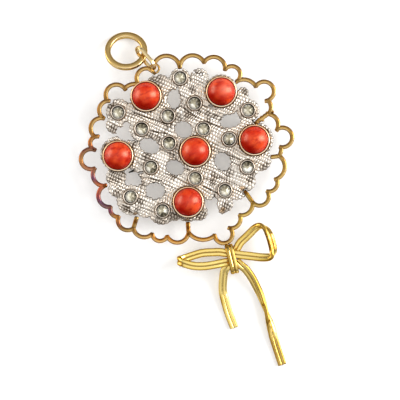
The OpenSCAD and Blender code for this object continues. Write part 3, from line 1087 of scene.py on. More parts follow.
    def wires(self) -> Shape:
        """Every lobe and strut as a wire.

        Returns:
            The wires in one mesh.
        """
        made = []
        for mx, my, r, first, sweep in self.lobes():
            count = max(self.fewest_steps, int(math.radians(sweep) * r / self.step))
            t = np.radians(np.linspace(first, first + sweep, count))
            route = np.stack([mx + r * np.cos(t), my + r * np.sin(t), np.full(count, self.middle_z)], axis=1)
            clear = distance(route, *self.eye_at) > self.eye_radii[1] - self.eye_overlap
            made.append(self.wire(route[clear]))
        t = np.linspace(0.0, 1.0, self.strut_steps)[:, None]
        for x0, y0, x1, y1 in self.struts:
            start, end = np.array([x0, y0, self.middle_z]), np.array([x1, y1, self.middle_z])
            made.append(self.wire(start * (1 - t) + end * t))
        return joined(made)

    def solder(self) -> Shape:
        """Beads of solder that thicken the strut beside the coral at the right.

        Returns:
            The beads in one mesh.
        """
        beads = []
        for x, y, r in self.solder_beads:
            t = np.radians(np.linspace(-90.0, 90.0, 9))
            profile = [(max(0.0, r * math.cos(a)), r * math.sin(a)) for a in t]
            beads.append(lathe(profile, self.eye_sides).moved(x, y, self.middle_z))
        return joined(beads)

    def eye(self) -> Shape:
        """The small ring that the link goes through.

        Returns:
            The eye.
        """
        inner, outer = self.eye_radii
        section = round_bar(outer - inner, self.eye_height, self.eye_sides, self.wire_squareness)
        return hoop((inner + outer) / 2, section, self.eye_steps).moved(*self.eye_at, self.middle_z)

    def tone(self, points: Points) -> tuple[Points, Points]:
        """Tone and heat of the wire by its place round the jewel.

        Args:
            points: The wire's points as the jewel lies.

        Returns:
            A colour for each point, and how strongly heat colours show there.
        """
        bearing = np.degrees(np.arctan2(points[:, 0], points[:, 1])) % 360
        at = [stop for stop, _ in self.tones]
        colour = [np.interp(bearing, at, [tone[c] for _, tone in self.tones]) for c in range(3)]
        heat = smooth_step(*self.heat_start, bearing) * (1 - smooth_step(*self.heat_end, bearing))
        return np.stack([*colour, np.ones(len(points))], axis=1), heat

    def darkened_joints(self, points: Points) -> Points:
        """How dark the wire is at dents and strut ends: partly dark joints, partly painted shade in their
        angles.

        Args:
            points: The wire's points as the jewel lies.

        Returns:
            A share from 0 to 1 for each point.
        """
        places = [(x, y, self.dent_reach, self.dent_dark) for x, y, *_ in self.dents]
        places += [(*burn, self.joint_dark) for burn in self.dark_joints]
        share = np.zeros(len(points))
        for x, y, reach, dark in places:
            fade = 1 - smooth_step(self.dark_core * reach, reach, distance(points, x, y))
            share = np.maximum(share, dark * fade)
        return share

    def build(self, finishes: Finishes) -> None:
        """Makes the frame and dresses it.

        Args:
            finishes: The jewel's finishes.
        """
        wires, eye, solder = self.wires(), self.eye(), self.solder()
        shape = joined([wires, eye, solder])
        tone, heat = self.tone(shape.points)
        # Painted shade on the sides and a painted highlight along the crest of the wires and the eye
        wire_shade, wire_highlight = WIRE_LOOK.shade_and_highlight(wires, self.wire_sides, self.wire_shade)
        eye_shade, eye_highlight = WIRE_LOOK.shade_and_highlight(eye, self.eye_sides, self.eye_shade)
        beads = np.ones(len(solder.points))
        # Painted light on the side of each wire that faces the light
        rings = wires.points.reshape(-1, self.wire_sides, 3)
        out = unit((rings - rings.mean(axis=1, keepdims=True)).reshape(-1, 3))
        lit_side = smooth_step(*self.lit_side_range, out[:, :2] @ np.array(self.lit_side_way))
        wire_shade = wire_shade * (1 - self.lit_side_clears * lit_side)
        wire_highlight = np.maximum(wire_highlight, self.lit_side_highlight * lit_side)
        painted_shade = np.concatenate([wire_shade, eye_shade, self.solder_dirt * beads])
        polish = np.concatenate([wire_highlight, eye_highlight, self.solder_polish * beads])
        marks = {
            Mark.TONE: tone,
            Mark.HEAT: self.heat_share * heat,
            Mark.DIRT_AND_SHADE: np.maximum(painted_shade * (1 - self.heat_off_shade * heat), self.darkened_joints(shape.points)),
            Mark.PAINTED_HIGHLIGHT: (self.highlight_share - self.heat_off_highlight * heat) * polish,
        }
        piece("frame_wire", shape, finishes.frame_gold, ("scallop_frame",), stored=marks)


@dataclass(frozen=True)
class Plaque:
    """Pierced plaque of rosettes, its rows of small pillows and the collets of the grey stones."""

    frame: ScallopFrame
    back_z: float = 4.0
    rim_z: float = 4.55
    row_top: float = 5.3
    # Fall of the rows to the right, in degrees, and the size of a row and of a pillow in it
    row_fall: float = 24.0
    row_pitch: float = 0.84
    tick_pitch: float = 0.7
    row_samples: int = 7
    tick_samples: int = 6
    # The face's grid: its reach, and how far it wanders over what lengths
    reach: float = 24.0
    wander: Row = (0.13, 0.16)
    wander_length: Row = (9, 7.5)
    scallop_width: float = 1.15
    scallop_depth: float = 0.2
    fewest_scallops: int = 6
    joint: float = 0.06
    # How far the edge of a gap is ragged, and over what length
    ragged: Row = (0.13, 1.3)
    # Pulling the edge onto the outline: times, length of a probe, longest pull and least slope
    pulls: int = 3
    probe: float = 0.02
    longest_pull: float = 0.08
    least_slope: float = 0.25
    # Depth of the grooves between rows, and how much deeper some stretches are
    groove: Row = (0.14, 0.1)
    stretch_length: float = 4.1
    # Depth of the notches between pillows, and what regular, worn and shaded places add
    notch: float = 0.1
    notch_more: Row = (0.12, 0.1, 0.05)
    # What a bright place takes off the grooves and the notches
    bright_off: Row = (0.2, 0.25)
    # How much of a notch is left down in a groove
    notch_in_groove: float = 0.35
    roundness: Row = (2.6, 2.0)
    unevenness: float = 0.05
    fold_depth: float = 0.2
    fold_width: Row = (0.05, 0.22)
    # The rim along the outer edge: its drop below the rows, swell, share, and where it fades out
    rim_drop: float = 0.2
    rim_swell: float = 0.14
    rim_share: float = 0.6
    rim_width: Row = (0.3, 0.65)
    # Widths of the level round a setting and of the fall to the edge
    level_width: float = 0.3
    lip_width: float = 0.2
    # How dark, as blackening and painted shade: the fully dark depth, folds, shaded places, the brink, round
    # settings
    dark_depth: float = 0.3
    fold_dark: float = 0.7
    shaded_dark: float = 0.4
    bright_clears: float = 0.3
    brink_dark: float = 0.95
    brink_width: Row = (0.12, 0.34)
    setting_dark: float = 0.7
    wall_dark: float = 0.45
    back_dark: float = 0.25
    warm_share: float = 0.85
    # The plate behind the face: its step, how far it is set in, and its thickness
    plate_step: float = 0.3
    plate_inset: float = 0.005
    plate_thickness: float = 0.4
    # The collets: height over the plate, depth in it, sides, turn of each, brown tone and painted shade
    collet_height: float = 1.6
    collet_root: float = 0.1
    collet_sides: int = 48
    collet_turn: float = 7.0
    collet_warm: float = 0.22
    collet_dark: float = 0.12
    # Rosettes that the outline is joined from: x, y and radius
    rosettes: Table = (
        (0, 0, 12.5), (-1.75, 18, 2.6), (3.1, 18.1, 2.4), (0.75, 14.5, 3), (4.5, 13.75, 3), (8.5, 14.9, 4.1),
        (8.6, 10.9, 2.5), (10.4, 11.5, 2.8), (14, 14.25, 1.5), (13.25, 12.5, 2.25), (15.25, 9.9, 2.9),
        (14.25, 6.5, 2.25), (12.75, 4.5, 3), (17.25, 2.6, 4.4), (18.25, -2.5, 2.9), (13.5, -1, 2.25),
        (12.7, 1.2, 1.2), (12.2, -3.6, 1.3), (15, -4.25, 3.1), (14.5, -7.75, 2.75), (12.5, -10, 2.6),
        (11.25, -6.5, 2.5), (9.5, -10.25, 3), (9.5, -13.5, 2.1), (8.8, -15.1, 1), (5.5, -11.1, 1.5),
        (0.25, -13.5, 4.5), (3, -15.5, 2.25), (-3, -16.4, 1.4), (-4.6, -11.8, 1.6), (-6.25, -15.25, 3.5),
        (-10.25, -14.25, 2.75), (-13.75, -12.5, 3.9), (-17.4, -9.5, 2.4), (-17.75, -6.75, 2.6),
        (-17.25, -1, 4.5), (-13.5, 0.5, 2), (-12.25, -3.25, 2.5), (-10.9, -8.3, 2.6), (-18.1, 6.25, 2.25),
        (-17.1, 9.6, 3.25), (-13, 9.25, 3), (-9.75, 8.75, 2.25), (-11.25, 5.25, 3.25), (-10.25, 13.25, 4.1),
        (-7, 15.4, 3.6), (-4, 16.5, 1.9), (-6.75, 11, 2.25),
    )
    # Oval gaps, the last a notch over the pin's end: x, y, both radii and turn in degrees
    gaps: Table = (
        (-3.25, 12.75, 2.3, 1.5, 95), (-0.9, 5.1, 2.1, 1.9, -30), (-15.9, 4.1, 2, 1.4, -35),
        (-9.4, 1, 2.5, 1.7, -20), (10.8, 7.2, 2.5, 1.5, 10), (8.9, -2.9, 2.2, 1.9, -60),
        (-3, -4.4, 2.2, 1.7, -20), (-13.2, -7.4, 1.85, 1.35, -28), (-7.9, -10.1, 2.3, 1.8, -10),
        (-13.9, -5.4, 0.8, 0.4, 30),
    )
    # Drilled dots: x, y and radius
    dots: Table = ((1.7, 19.4, 0.32), (3.5, 18.9, 0.32))
    # Places tinted brown, places with painted shade, and places with painted light: x, y and radius
    warm_spots: Table = (
        (8.8, -15.2, 1), (13.6, -9.6, 1), (0.3, -17.6, 1.1), (-12.6, -16.4, 0.9),
    )
    shaded_spots: Table = (
        (-8, 17.6, 3.6), (0.2, 8.6, 1.6), (19.2, -4.2, 1.6), (3.6, -16.2, 2.4), (-19, 11.4, 2),
        (-14.8, -14.8, 1.4), (14.7, 14.6, 1.5), (6.4, -8.4, 1.2), (-3.2, -17.2, 2.2), (19.6, 4.6, 1.5),
        (-5.6, 19.4, 1.6), (5, 8.8, 1.3), (5.2, 7.2, 1.4), (-18.9, 5, 1.9), (-9, 3.6, 1.3), (-4.6, 6.4, 2.2),
        (-10, -1.5, 1.5), (-17.8, -6.4, 2.4), (-12.4, -15, 1.3), (-6.8, -18, 2.2), (0.2, -18, 1.8),
        (9.8, -14.4, 2), (17, -6.6, 1.6), (1.2, 15.2, 1.2), (-9.6, 18.4, 1.7), (-6.5, 19.6, 1.8),
        (1.5, 19.9, 1.8), (7.2, 8.7, 1.1), (-2.7, 8.2, 1.9), (-7.4, 3.1, 1.1), (-13.3, 1.3, 1.1),
        (-1, -19.2, 3.4), (-7.2, -18.6, 2.4), (4.6, -17.6, 2.6), (15.6, -7.6, 1.3), (10.6, -5.8, 1.6),
        (7, -6.6, 1.4), (-11.4, -8.6, 1.3), (-15.2, -5.6, 1.9), (7, -2.2, 1), (-3.2, -6.6, 1.2),
        (-20.8, 0.4, 1.6), (-17.6, -11, 1.6), (2.9, 9.6, 1), (-11.6, -13.2, 1.1), (-9.2, 10, 1),
        (-10.6, 19, 1.4),
    )
    bright_spots: Table = (
        (-6.2, -0.9, 2.4), (-10.4, -5.6, 2.6), (2.2, -10.4, 2), (3.6, 13.2, 2), (9, 1, 1.6), (12.8, 5.2, 1.6),
        (11.6, 1.4, 1.6), (-3.2, -11, 1.6), (19, -1.4, 1.3), (5.4, 11.6, 1.5), (12.8, 9.2, 1.3),
        (-1.2, 3.3, 1), (3.6, 15.2, 1.4), (13.4, -8.6, 1.4), (-2.4, -8.6, 1.2),
    )
    # Deep folds between rows, from x and y to x and y
    folds: Table = (
        (-13.5, 9.3, -5, 6.5), (-0.7, 10.4, 2.3, 8.2), (5.1, 7, 10.1, 5), (3.9, 11.1, 7.5, 10),
        (-9.3, 4.8, -5, 4), (-6.6, 0.2, -3, -1.3), (0.4, 5.7, 1.5, 5.1), (7.6, -0.3, 11.8, -1.8),
        (-5.8, 0, -2.5, -2.3), (-11.5, -6.7, -6.3, -7.8), (-17, -14, -13, -16), (-16.1, -13.8, -14.2, -14.5),
        (3.9, -9, 7.8, -10.8), (4, -7, 6.3, -7.7), (8.2, -6.8, 13.5, -9.2), (9.5, -0.9, 13.3, -2.5),
        (-1.5, -4.2, 0.8, -5.2), (-12.6, -3.1, -10.9, -4),
    )

    def scallops(self, x: Points, y: Points, length: float) -> Points:
        """The waves of a scalloped edge round the origin, from 0 between two scallops to 1 at a top."""
        count = max(self.fewest_scallops, round(length / self.scallop_width))
        return np.abs(np.sin(np.arctan2(y, x) * count / 2))

    def outline(self, x: Points, y: Points) -> tuple[Points, Points, Points]:
        """How far each point is outside the pierced outline.

        Args:
            x: Points across.
            y: Points up.

        Returns:
            The distance, negative inside; the same without gaps; and the swell of the nearest scallop.
        """
        edge = np.full(x.shape, FAR)
        swell = np.zeros(x.shape)
        for cx, cy, r in self.rosettes:
            wave = self.scallops(x - cx, y - cy, 2 * math.pi * r)
            d = np.hypot(x - cx, y - cy) - (r - self.scallop_depth * (1 - wave))
            swell = np.where(d < edge, wave, swell)
            edge = np.minimum(edge, d)
        pierced = edge.copy()
        for cx, cy, rx, ry, turn in self.gaps:
            c, s = math.cos(math.radians(turn)), math.sin(math.radians(turn))
            u, v = (x - cx) * c + (y - cy) * s, (y - cy) * c - (x - cx) * s
            grown = self.scallop_depth * (1 - self.scallops(u / rx, v / ry, math.pi * (rx + ry)))
            d = (np.hypot(u / (rx + grown), v / (ry + grown)) - 1.0) * min(rx, ry)
            pierced = np.maximum(pierced, -d - self.ragged[0] * drift(x, y, self.ragged[1], cx))
        for cx, cy, r in self.dots:
            pierced = np.maximum(pierced, r - np.hypot(x - cx, y - cy))
        wire = self.frame.clearance(x, y) - self.frame.wire_width / 2 - self.joint
        return np.maximum(pierced, -wire), edge, swell

    def settings(self, x: Points, y: Points) -> Points:
        """Measures how far points lie from the wall of the nearest setting.

        Args:
            x: Points across.
            y: Points up.

        Returns:
            One distance for each point, negative under the setting.
        """
        holders = [(*at, LAYOUT.bezel_outer) for at in LAYOUT.corals]
        holders += [(*at[:2], LAYOUT.collet_outer) for at in LAYOUT.grey_stones]
        near = np.full(x.shape, FAR)
        for cx, cy, r in holders:
            near = np.minimum(near, np.hypot(x - cx, y - cy) - r)
        return near

    def grid(self, ds: float, dt: float) -> tuple[Points, Points, Points, Points]:
        """A grid laid along the rows.

        Args:
            ds: Step along a row.
            dt: Step across the rows.

        Returns:
            The grid's places s and t along and across the rows, and its x and y.
        """
        ns, nt = int(self.reach / ds), int(self.reach / dt)
        s, t = np.meshgrid(np.arange(-ns, ns + 1) * ds, np.arange(-nt, nt + 1) * dt, indexing="ij")
        c, q = math.cos(math.radians(self.row_fall)), math.sin(math.radians(self.row_fall))
        x = s * c + t * q + self.wander[0] * drift(s, t, self.wander_length[0], 0.4)
        y = t * c - s * q + self.wander[1] * drift(s, t, self.wander_length[1], 2.1)
        return s, t, x, y

    def trimmed(self, x: Points, y: Points) -> tuple[Points, Points, Points, Points]:
        """Keeps the grid's cells inside the outline and pulls their edge onto it.

        Args:
            x: The grid's x.
            y: The grid's y.

        Returns:
            New x and y, the numbers of each kept cell's corners, and those of the ends of its bare edges.
        """
        middles = [(p[:-1, :-1] + p[1:, :-1] + p[:-1, 1:] + p[1:, 1:]) / 4 for p in (x, y)]
        keep = self.outline(*middles)[0] < 0.0
        touched = sum(np.pad(keep.astype(int), ((a, 1 - a), (b, 1 - b))) for a in (0, 1) for b in (0, 1))
        rim = (touched > 0) & (touched < 4)
        px, py = x[rim], y[rim]
        h, most = self.probe, self.longest_pull
        for _ in range(self.pulls):
            off = self.outline(px, py)[0]
            gx = (self.outline(px + h, py)[0] - self.outline(px - h, py)[0]) / (2 * h)
            gy = (self.outline(px, py + h)[0] - self.outline(px, py - h)[0]) / (2 * h)
            steep = np.maximum(gx * gx + gy * gy, self.least_slope)
            px = px - np.clip(off * gx / steep, -most, most)
            py = py - np.clip(off * gy / steep, -most, most)
        new_x, new_y = x.copy(), y.copy()
        new_x[rim], new_y[rim] = px, py
        index = np.arange(x.size).reshape(x.shape)
        i, j = np.nonzero(keep)
        quads = np.stack([index[i, j], index[i + 1, j], index[i + 1, j + 1], index[i, j + 1]], axis=1)
        held = np.pad(keep, 1)
        edges = []
        for di, dj, corners in ((-1, 0, (3, 0)), (1, 0, (1, 2)), (0, -1, (0, 1)), (0, 1, (2, 3))):
            edges.append(quads[~held[i + 1 + di, j + 1 + dj]][:, corners])
        return new_x, new_y, quads, np.vstack(edges)

    def relief(self, s: Points, t: Points, x: Points, y: Points) -> tuple[Points, Points]:
        """Height of the plaque's face, and how dark each point is: blackening in its grooves and painted
        shade.

        Args:
            s: Places along the rows.
            t: Places across the rows.
            x: Points across.
            y: Points up.

        Returns:
            Height, and a darkness from 0 on top to 1 in a groove, with painted shade added.
        """
        pierced, edge, swell = self.outline(x, y)
        bright, shaded = self.patches(x, y, self.bright_spots), self.patches(x, y, self.shaded_spots)
        # Pillows: a runs from 0 to 1 across each row, and along counts the pillows in it
        row = np.floor(t / self.row_pitch + 1e-6)
        a = t / self.row_pitch - row
        along = s / self.tick_pitch + scatter(row, 0.0, 1.9)
        along = along + 0.25 * (a - 0.5) + 0.5 * drift(s, t, 6.5, 0.9)
        tick = np.floor(along + 1e-6)
        over_row, over_tick = self.roundness
        pillow = 1 - np.abs(2 * a - 1.0) ** over_row
        bead = 1 - np.abs(2 * (along - tick) - 1.0) ** over_tick
        stretch = scatter(row, np.floor(s / self.stretch_length + 0.37 * row), 3.1)
        worn = scatter(row, tick, 0.7)
        regular = smooth_step(-0.6, 0.5, drift(x, y, 8.0, 4.2))
        groove = self.groove[0] + self.groove[1] * smooth_step(0.6, 0.9, stretch)
        notch = self.notch
        for more, share in zip(self.notch_more, (regular, worn, shaded)):
            notch = notch + more * share
        off_groove, off_notch = self.bright_off
        groove, notch = groove * (1 - off_groove * bright), notch * (1 - off_notch * bright)
        tops = self.row_top + self.unevenness * (drift(x, y, 6.0, 1.3) - worn - stretch)
        left = self.notch_in_groove + (1 - self.notch_in_groove) * pillow
        z = tops - groove * (1 - pillow) - notch * (1 - bead) * left
        # Folds and rim, then the level places round settings and the fall to the edge
        fold = self.folded(x, y)
        rim = self.row_top - self.rim_drop + self.rim_swell * swell - self.unevenness * worn
        on_rim = self.rim_share * (1 - smooth_step(*self.rim_width, -edge))
        z = (z - self.fold_depth * fold) * (1 - on_rim) + rim * on_rim
        hollow = np.clip((tops - z) / self.dark_depth, 0.0, 1.0)
        free = smooth_step(0.0, self.level_width, self.settings(x, y))
        z = LAYOUT.plate_top + (z - LAYOUT.plate_top) * free
        lip = np.sqrt(smooth_step(0.0, self.lip_width, -pierced))
        z = self.rim_z + (np.minimum(z, self.row_top + self.unevenness) - self.rim_z) * lip
        # Painted shade in the folds and shaded places, less in bright places
        hollow = np.maximum(hollow, self.fold_dark * fold) * (1 - self.bright_clears * bright)
        hollow = hollow + self.shaded_dark * shaded
        # The painted shade along the pierced edge is stronger on some stretches than on others
        stronger = 0.5 + 0.5 * smooth_step(-0.2, 0.5, drift(x, y, 5.0, 2.7))
        brink = stronger * (1 - smooth_step(*self.brink_width, -pierced))
        hollow = np.maximum(hollow, self.brink_dark * brink)
        # Painted shade round the settings
        return z, np.clip(np.maximum(hollow, self.setting_dark * (1 - free)), 0.0, 1.0)

    def patches(self, x: Points, y: Points, spots: Table) -> Points:
        """How much each point belongs to one of a table's round patches.

        Args:
            x: Points across.
            y: Points up.
            spots: Columns x, y and radius.

        Returns:
            A share from 0 to 1 for each point.
        """
        share = np.zeros(np.shape(x))
        for cx, cy, r in spots:
            d = np.hypot(x - cx, y - cy) + 0.4 * drift(x, y, 3.0, cx)
            share = np.maximum(share, 1 - smooth_step(0.4 * r, r, d))
        return share

    def folded(self, x: Points, y: Points) -> Points:
        """How much each point lies in one of the deep folds between rows.

        Args:
            x: Points across.
            y: Points up.

        Returns:
            A share from 0 to 1 for each point.
        """
        share = np.zeros(np.shape(x))
        for x0, y0, x1, y1 in self.folds:
            dx, dy = x1 - x0, y1 - y0
            along = np.clip(((x - x0) * dx + (y - y0) * dy) / (dx * dx + dy * dy), 0.0, 1.0)
            d = np.hypot(x - x0 - along * dx, y - y0 - along * dy) + 0.04 * drift(x, y, 1.7, x0)
            share = np.maximum(share, 1 - smooth_step(*self.fold_width, d))
        return share

    def face(self) -> tuple[Shape, Points]:
        """The face with its rows and rims, and its walls down to the back.

        Returns:
            The mesh, and how dark each point is, with painted shade on its walls.
        """
        s, t, x, y = self.grid(self.tick_pitch / self.tick_samples, self.row_pitch / self.row_samples)
        x, y, quads, edges = self.trimmed(x, y)
        z, hollow = self.relief(s, t, x, y)
        used, rim = np.unique(quads), np.unique(edges)
        top = np.column_stack([x.ravel(), y.ravel(), z.ravel()])
        low = top[rim]
        low[:, 2] = self.back_z
        upper, lower = np.searchsorted(used, edges), len(used) + np.searchsorted(rim, edges)
        sides = np.stack([upper[:, 1], upper[:, 0], lower[:, 0], lower[:, 1]], axis=1)
        faces = np.vstack([np.searchsorted(used, quads), sides])
        depth = np.concatenate([hollow.ravel()[used], np.full(len(rim), self.wall_dark)])
        return Shape(np.vstack([top[used], low]), [tuple(f) for f in faces.tolist()]), depth

    def back(self) -> Shape:
        """The plain plate behind the face.

        Returns:
            A closed solid a hair inside the face's walls.
        """
        _, _, x, y = self.grid(self.plate_step, self.plate_step)
        x, y, quads, edges = self.trimmed(x, y)
        used = np.unique(quads)
        quads, edges = np.searchsorted(used, quads), np.searchsorted(used, edges)
        flat = np.column_stack([x.ravel()[used], y.ravel()[used]])
        count = len(used)
        heights = (self.back_z + self.plate_inset, self.back_z + self.plate_thickness)
        points = np.vstack([np.column_stack([flat, np.full(count, z)]) for z in heights])
        sides = np.stack([edges[:, 1] + count, edges[:, 0] + count, edges[:, 0], edges[:, 1]], axis=1)
        faces = np.vstack([quads + count, quads[:, ::-1], sides])
        return Shape(points, [tuple(f) for f in faces.tolist()])

    def collets(self) -> tuple[Shape, Points]:
        """The round walls that hold the grey stones.

        Returns:
            The collets in one mesh, and how dark each point is: painted shade in the bore and low down.
        """
        cup = Cup(
            LAYOUT.collet_outer, LAYOUT.collet_bore, LAYOUT.plate_top - self.collet_root,
            LAYOUT.plate_top + self.collet_height,
            foot=((0.05, 0.0), (0.03, 0.35), (0.0, 0.6)),
            outer_lip=((0.0, 0.14), (-0.03, 0.05), (-0.09, 0.0)),
            inner_lip=((0.08, 0.01), (0.02, 0.05), (0.0, 0.12)),
        )
        one = lathe(cup.profile(), self.collet_sides)
        # Painted shade: black inside the bore, darker towards the foot
        inside = distance(one.points, 0.0, 0.0) < cup.inner + 0.03
        low = np.clip((cup.base + 0.5 - one.points[:, 2]) / 0.4, 0.0, 1.0)
        dark = np.maximum(np.where(inside, 1.0, self.collet_dark), low)
        shapes = []
        for k, (x, y, _) in enumerate(LAYOUT.grey_stones):
            shapes.append(one.turned(Axis.Z, self.collet_turn * k).moved(x, y))
        return joined(shapes), np.tile(dark, len(shapes))

    def build(self, finishes: Finishes) -> None:
        """Makes the plaque's face, back and collets and dresses them.

        Args:
            finishes: The jewel's finishes.
        """
        face, depth = self.face()
        browned = self.patches(*face.points.T[:2], self.warm_spots)
        back = self.back()
        plain = np.ones(len(back.points))
        collets, dark = self.collets()
        for name, shape, hollow, warm in (
            ("plaque_face", face, depth, self.warm_share * browned),
            # The back carries an even painted shade
            ("plaque_back", back, self.back_dark * plain, 0.0 * plain),
            ("stone_collets", collets, dark, np.full(len(dark), self.collet_warm)),
        ):
            marks = {Mark.DIRT_AND_SHADE: hollow, Mark.WARM: warm}
            piece(name, shape, finishes.silver, ("plaque",), stored=marks)


@dataclass(frozen=True)
class CoralSettings:
    """The coral cabochons and the gold bezels round them."""

    coral_r: float = 3.4
    dome_r: float = 3.52
    foot_edge: float = 0.1
    arc_steps: int = 36
    sides: int = 96
    seat_z: float = 5.32
    wall_h: float = 0.88
    bezel_z: float = 4.93
    bezel_h: float = 2.2
    bezel_inner: float = 3.46
    # How far the bezels' edges waver
    ripple: float = 0.008
    # The painted shade round a coral's foot: its share, and the heights where it starts to fade and ends
    foot_shade: float = 0.85
    foot_heights: Row = (0.7, 1.7)
    # The painted shade on the side away from the light: its way and share, and where it starts and is full
    lee_way: Row = (-0.5, -0.87)
    lee_shade: float = 0.8
    lee_range: Row = (0.1, 0.85)
    # How far each coral's side of painted shade is turned, in degrees
    turns: Row = (12, -8, 4, 18, -14, 8)
    # A painted highlight near the top of each coral: share, x and y
    highlight_spots: Table = (
        (0.03, 0.6, 0.4), (0.42, 0.9, 0.5), (0.04, 0.5, 0.6), (0.04, 0.8, 0.6), (0.02, 0.8, 0.6),
        (0.12, 0.9, 0.4),
    )
    highlight_reach: float = 0.9
    # Painted highlights that all corals have: share, x, y and reach
    shared_highlights: Table = ((0.32, 1.75, 0.55, 0.55), (0.14, -2.2, 0.4, 0.75))
    # The bezels' lit side: its way, and where the painted highlight starts and is full
    sunny_way: Row = (0.45, -0.9)
    highlight_range: Row = (-0.2, 0.6)
    # Their painted shade on the far side, low on the wall and inside: its share and where it starts and ends
    far_shade: float = 0.12
    far_range: Row = (0.1, 0.9)
    low_range: Row = (0.6, 1.9)
    inside_range: Row = (0.02, 0.12)

    def coral(self) -> tuple[Shape, Points]:
        """A cabochon about the z axis.

        Returns:
            The stone, and the share of painted shade at each point.
        """
        r, middle = self.coral_r, self.seat_z + self.wall_h
        arc = [(self.dome_r * math.cos(t), middle + self.dome_r * math.sin(t))
               for t in np.linspace(math.acos(r / self.dome_r), math.pi / 2, self.arc_steps)]
        arc[-1] = (0.0, arc[-1][1])
        seat, edge = self.seat_z, self.foot_edge
        shape = lathe([(0.0, seat), (r - edge, seat), (r, seat + edge), *arc], self.sides)
        low, high = self.foot_heights
        x, y, z = shape.points.T
        foot = self.foot_shade * (1 - smooth_step(middle + low, middle + high, z))
        lee = (x * self.lee_way[0] + y * self.lee_way[1]) / r + 0.15 * drift(x, y, 3.0, 1.0)
        return shape, np.maximum(foot, self.lee_shade * smooth_step(*self.lee_range, lee))

    def pale(self, dome: Shape, bloom: Row) -> Points:
        """How much painted highlight each point of a coral has.

        Args:
            dome: The coral about the z axis.
            bloom: Share, x and y of its own painted highlight.

        Returns:
            A share from 0 to 1 for each point.
        """
        share = np.zeros(len(dome.points))
        for strength, x, y, reach in ((*bloom, self.highlight_reach), *self.shared_highlights):
            far = distance(dome.points, x, y) / reach
            share = np.maximum(share, strength * np.exp(-0.5 * far**2))
        return share

    def bezel(self, k: int) -> tuple[Shape, Points, Points]:
        """A bezel about the z axis, its rim pressed over by hand.

        Args:
            k: Number of the bezel, which sets the waves of its rim.

        Returns:
            The bezel, and the shares of painted shade and of painted highlight at each point.
        """
        cup = Cup(
            LAYOUT.bezel_outer, self.bezel_inner, self.bezel_z, self.bezel_z + self.bezel_h,
            foot=((-0.05, 0.0), (0.0, 0.08)),
            outer_lip=((0.0, 0.3), (-0.02, 0.14), (-0.07, 0.04), (-0.14, 0.0)),
            inner_lip=((0.12, 0.01), (0.05, 0.05), (0.01, 0.12)),
        )
        shape = lathe(cup.profile(), self.sides, ripple=self.ripple, waves=7 + k)
        radius, z = distance(shape.points, 0.0, 0.0), shape.points[:, 2]
        low = 1 - smooth_step(*(self.bezel_z + h for h in self.low_range), z)
        inside = 1 - smooth_step(*(self.bezel_inner + w for w in self.inside_range), radius)
        sunny = shape.points[:, :2] @ np.array(self.sunny_way) / LAYOUT.bezel_outer
        far = self.far_shade * smooth_step(*self.far_range, -sunny)
        return shape, np.maximum(np.maximum(low, far), inside), smooth_step(*self.highlight_range, sunny)

    def build(self, finishes: Finishes) -> None:
        """Makes each coral and bezel and dresses them.

        Args:
            finishes: The jewel's finishes.
        """
        stone, foot = self.coral()
        for k, ((x, y), turn, bloom) in enumerate(zip(LAYOUT.corals, self.turns, self.highlight_spots), start=1):
            dome = stone.turned(Axis.Z, turn)
            piece(f"coral_dome_{k}", dome.moved(x, y), finishes.coral, (f"coral_{k}",),
                  stored={Mark.CORAL_SHADE: foot, Mark.HIGHLIGHT_SPOT: self.pale(dome, bloom)})
            bezel, painted_shade, polish = self.bezel(k)
            piece(f"gold_bezel_{k}", bezel.moved(x, y), finishes.bezel_gold,
                  (f"coral_bezel_{k}",), stored={Mark.DIRT_AND_SHADE: painted_shade, Mark.PAINTED_HIGHLIGHT: polish})


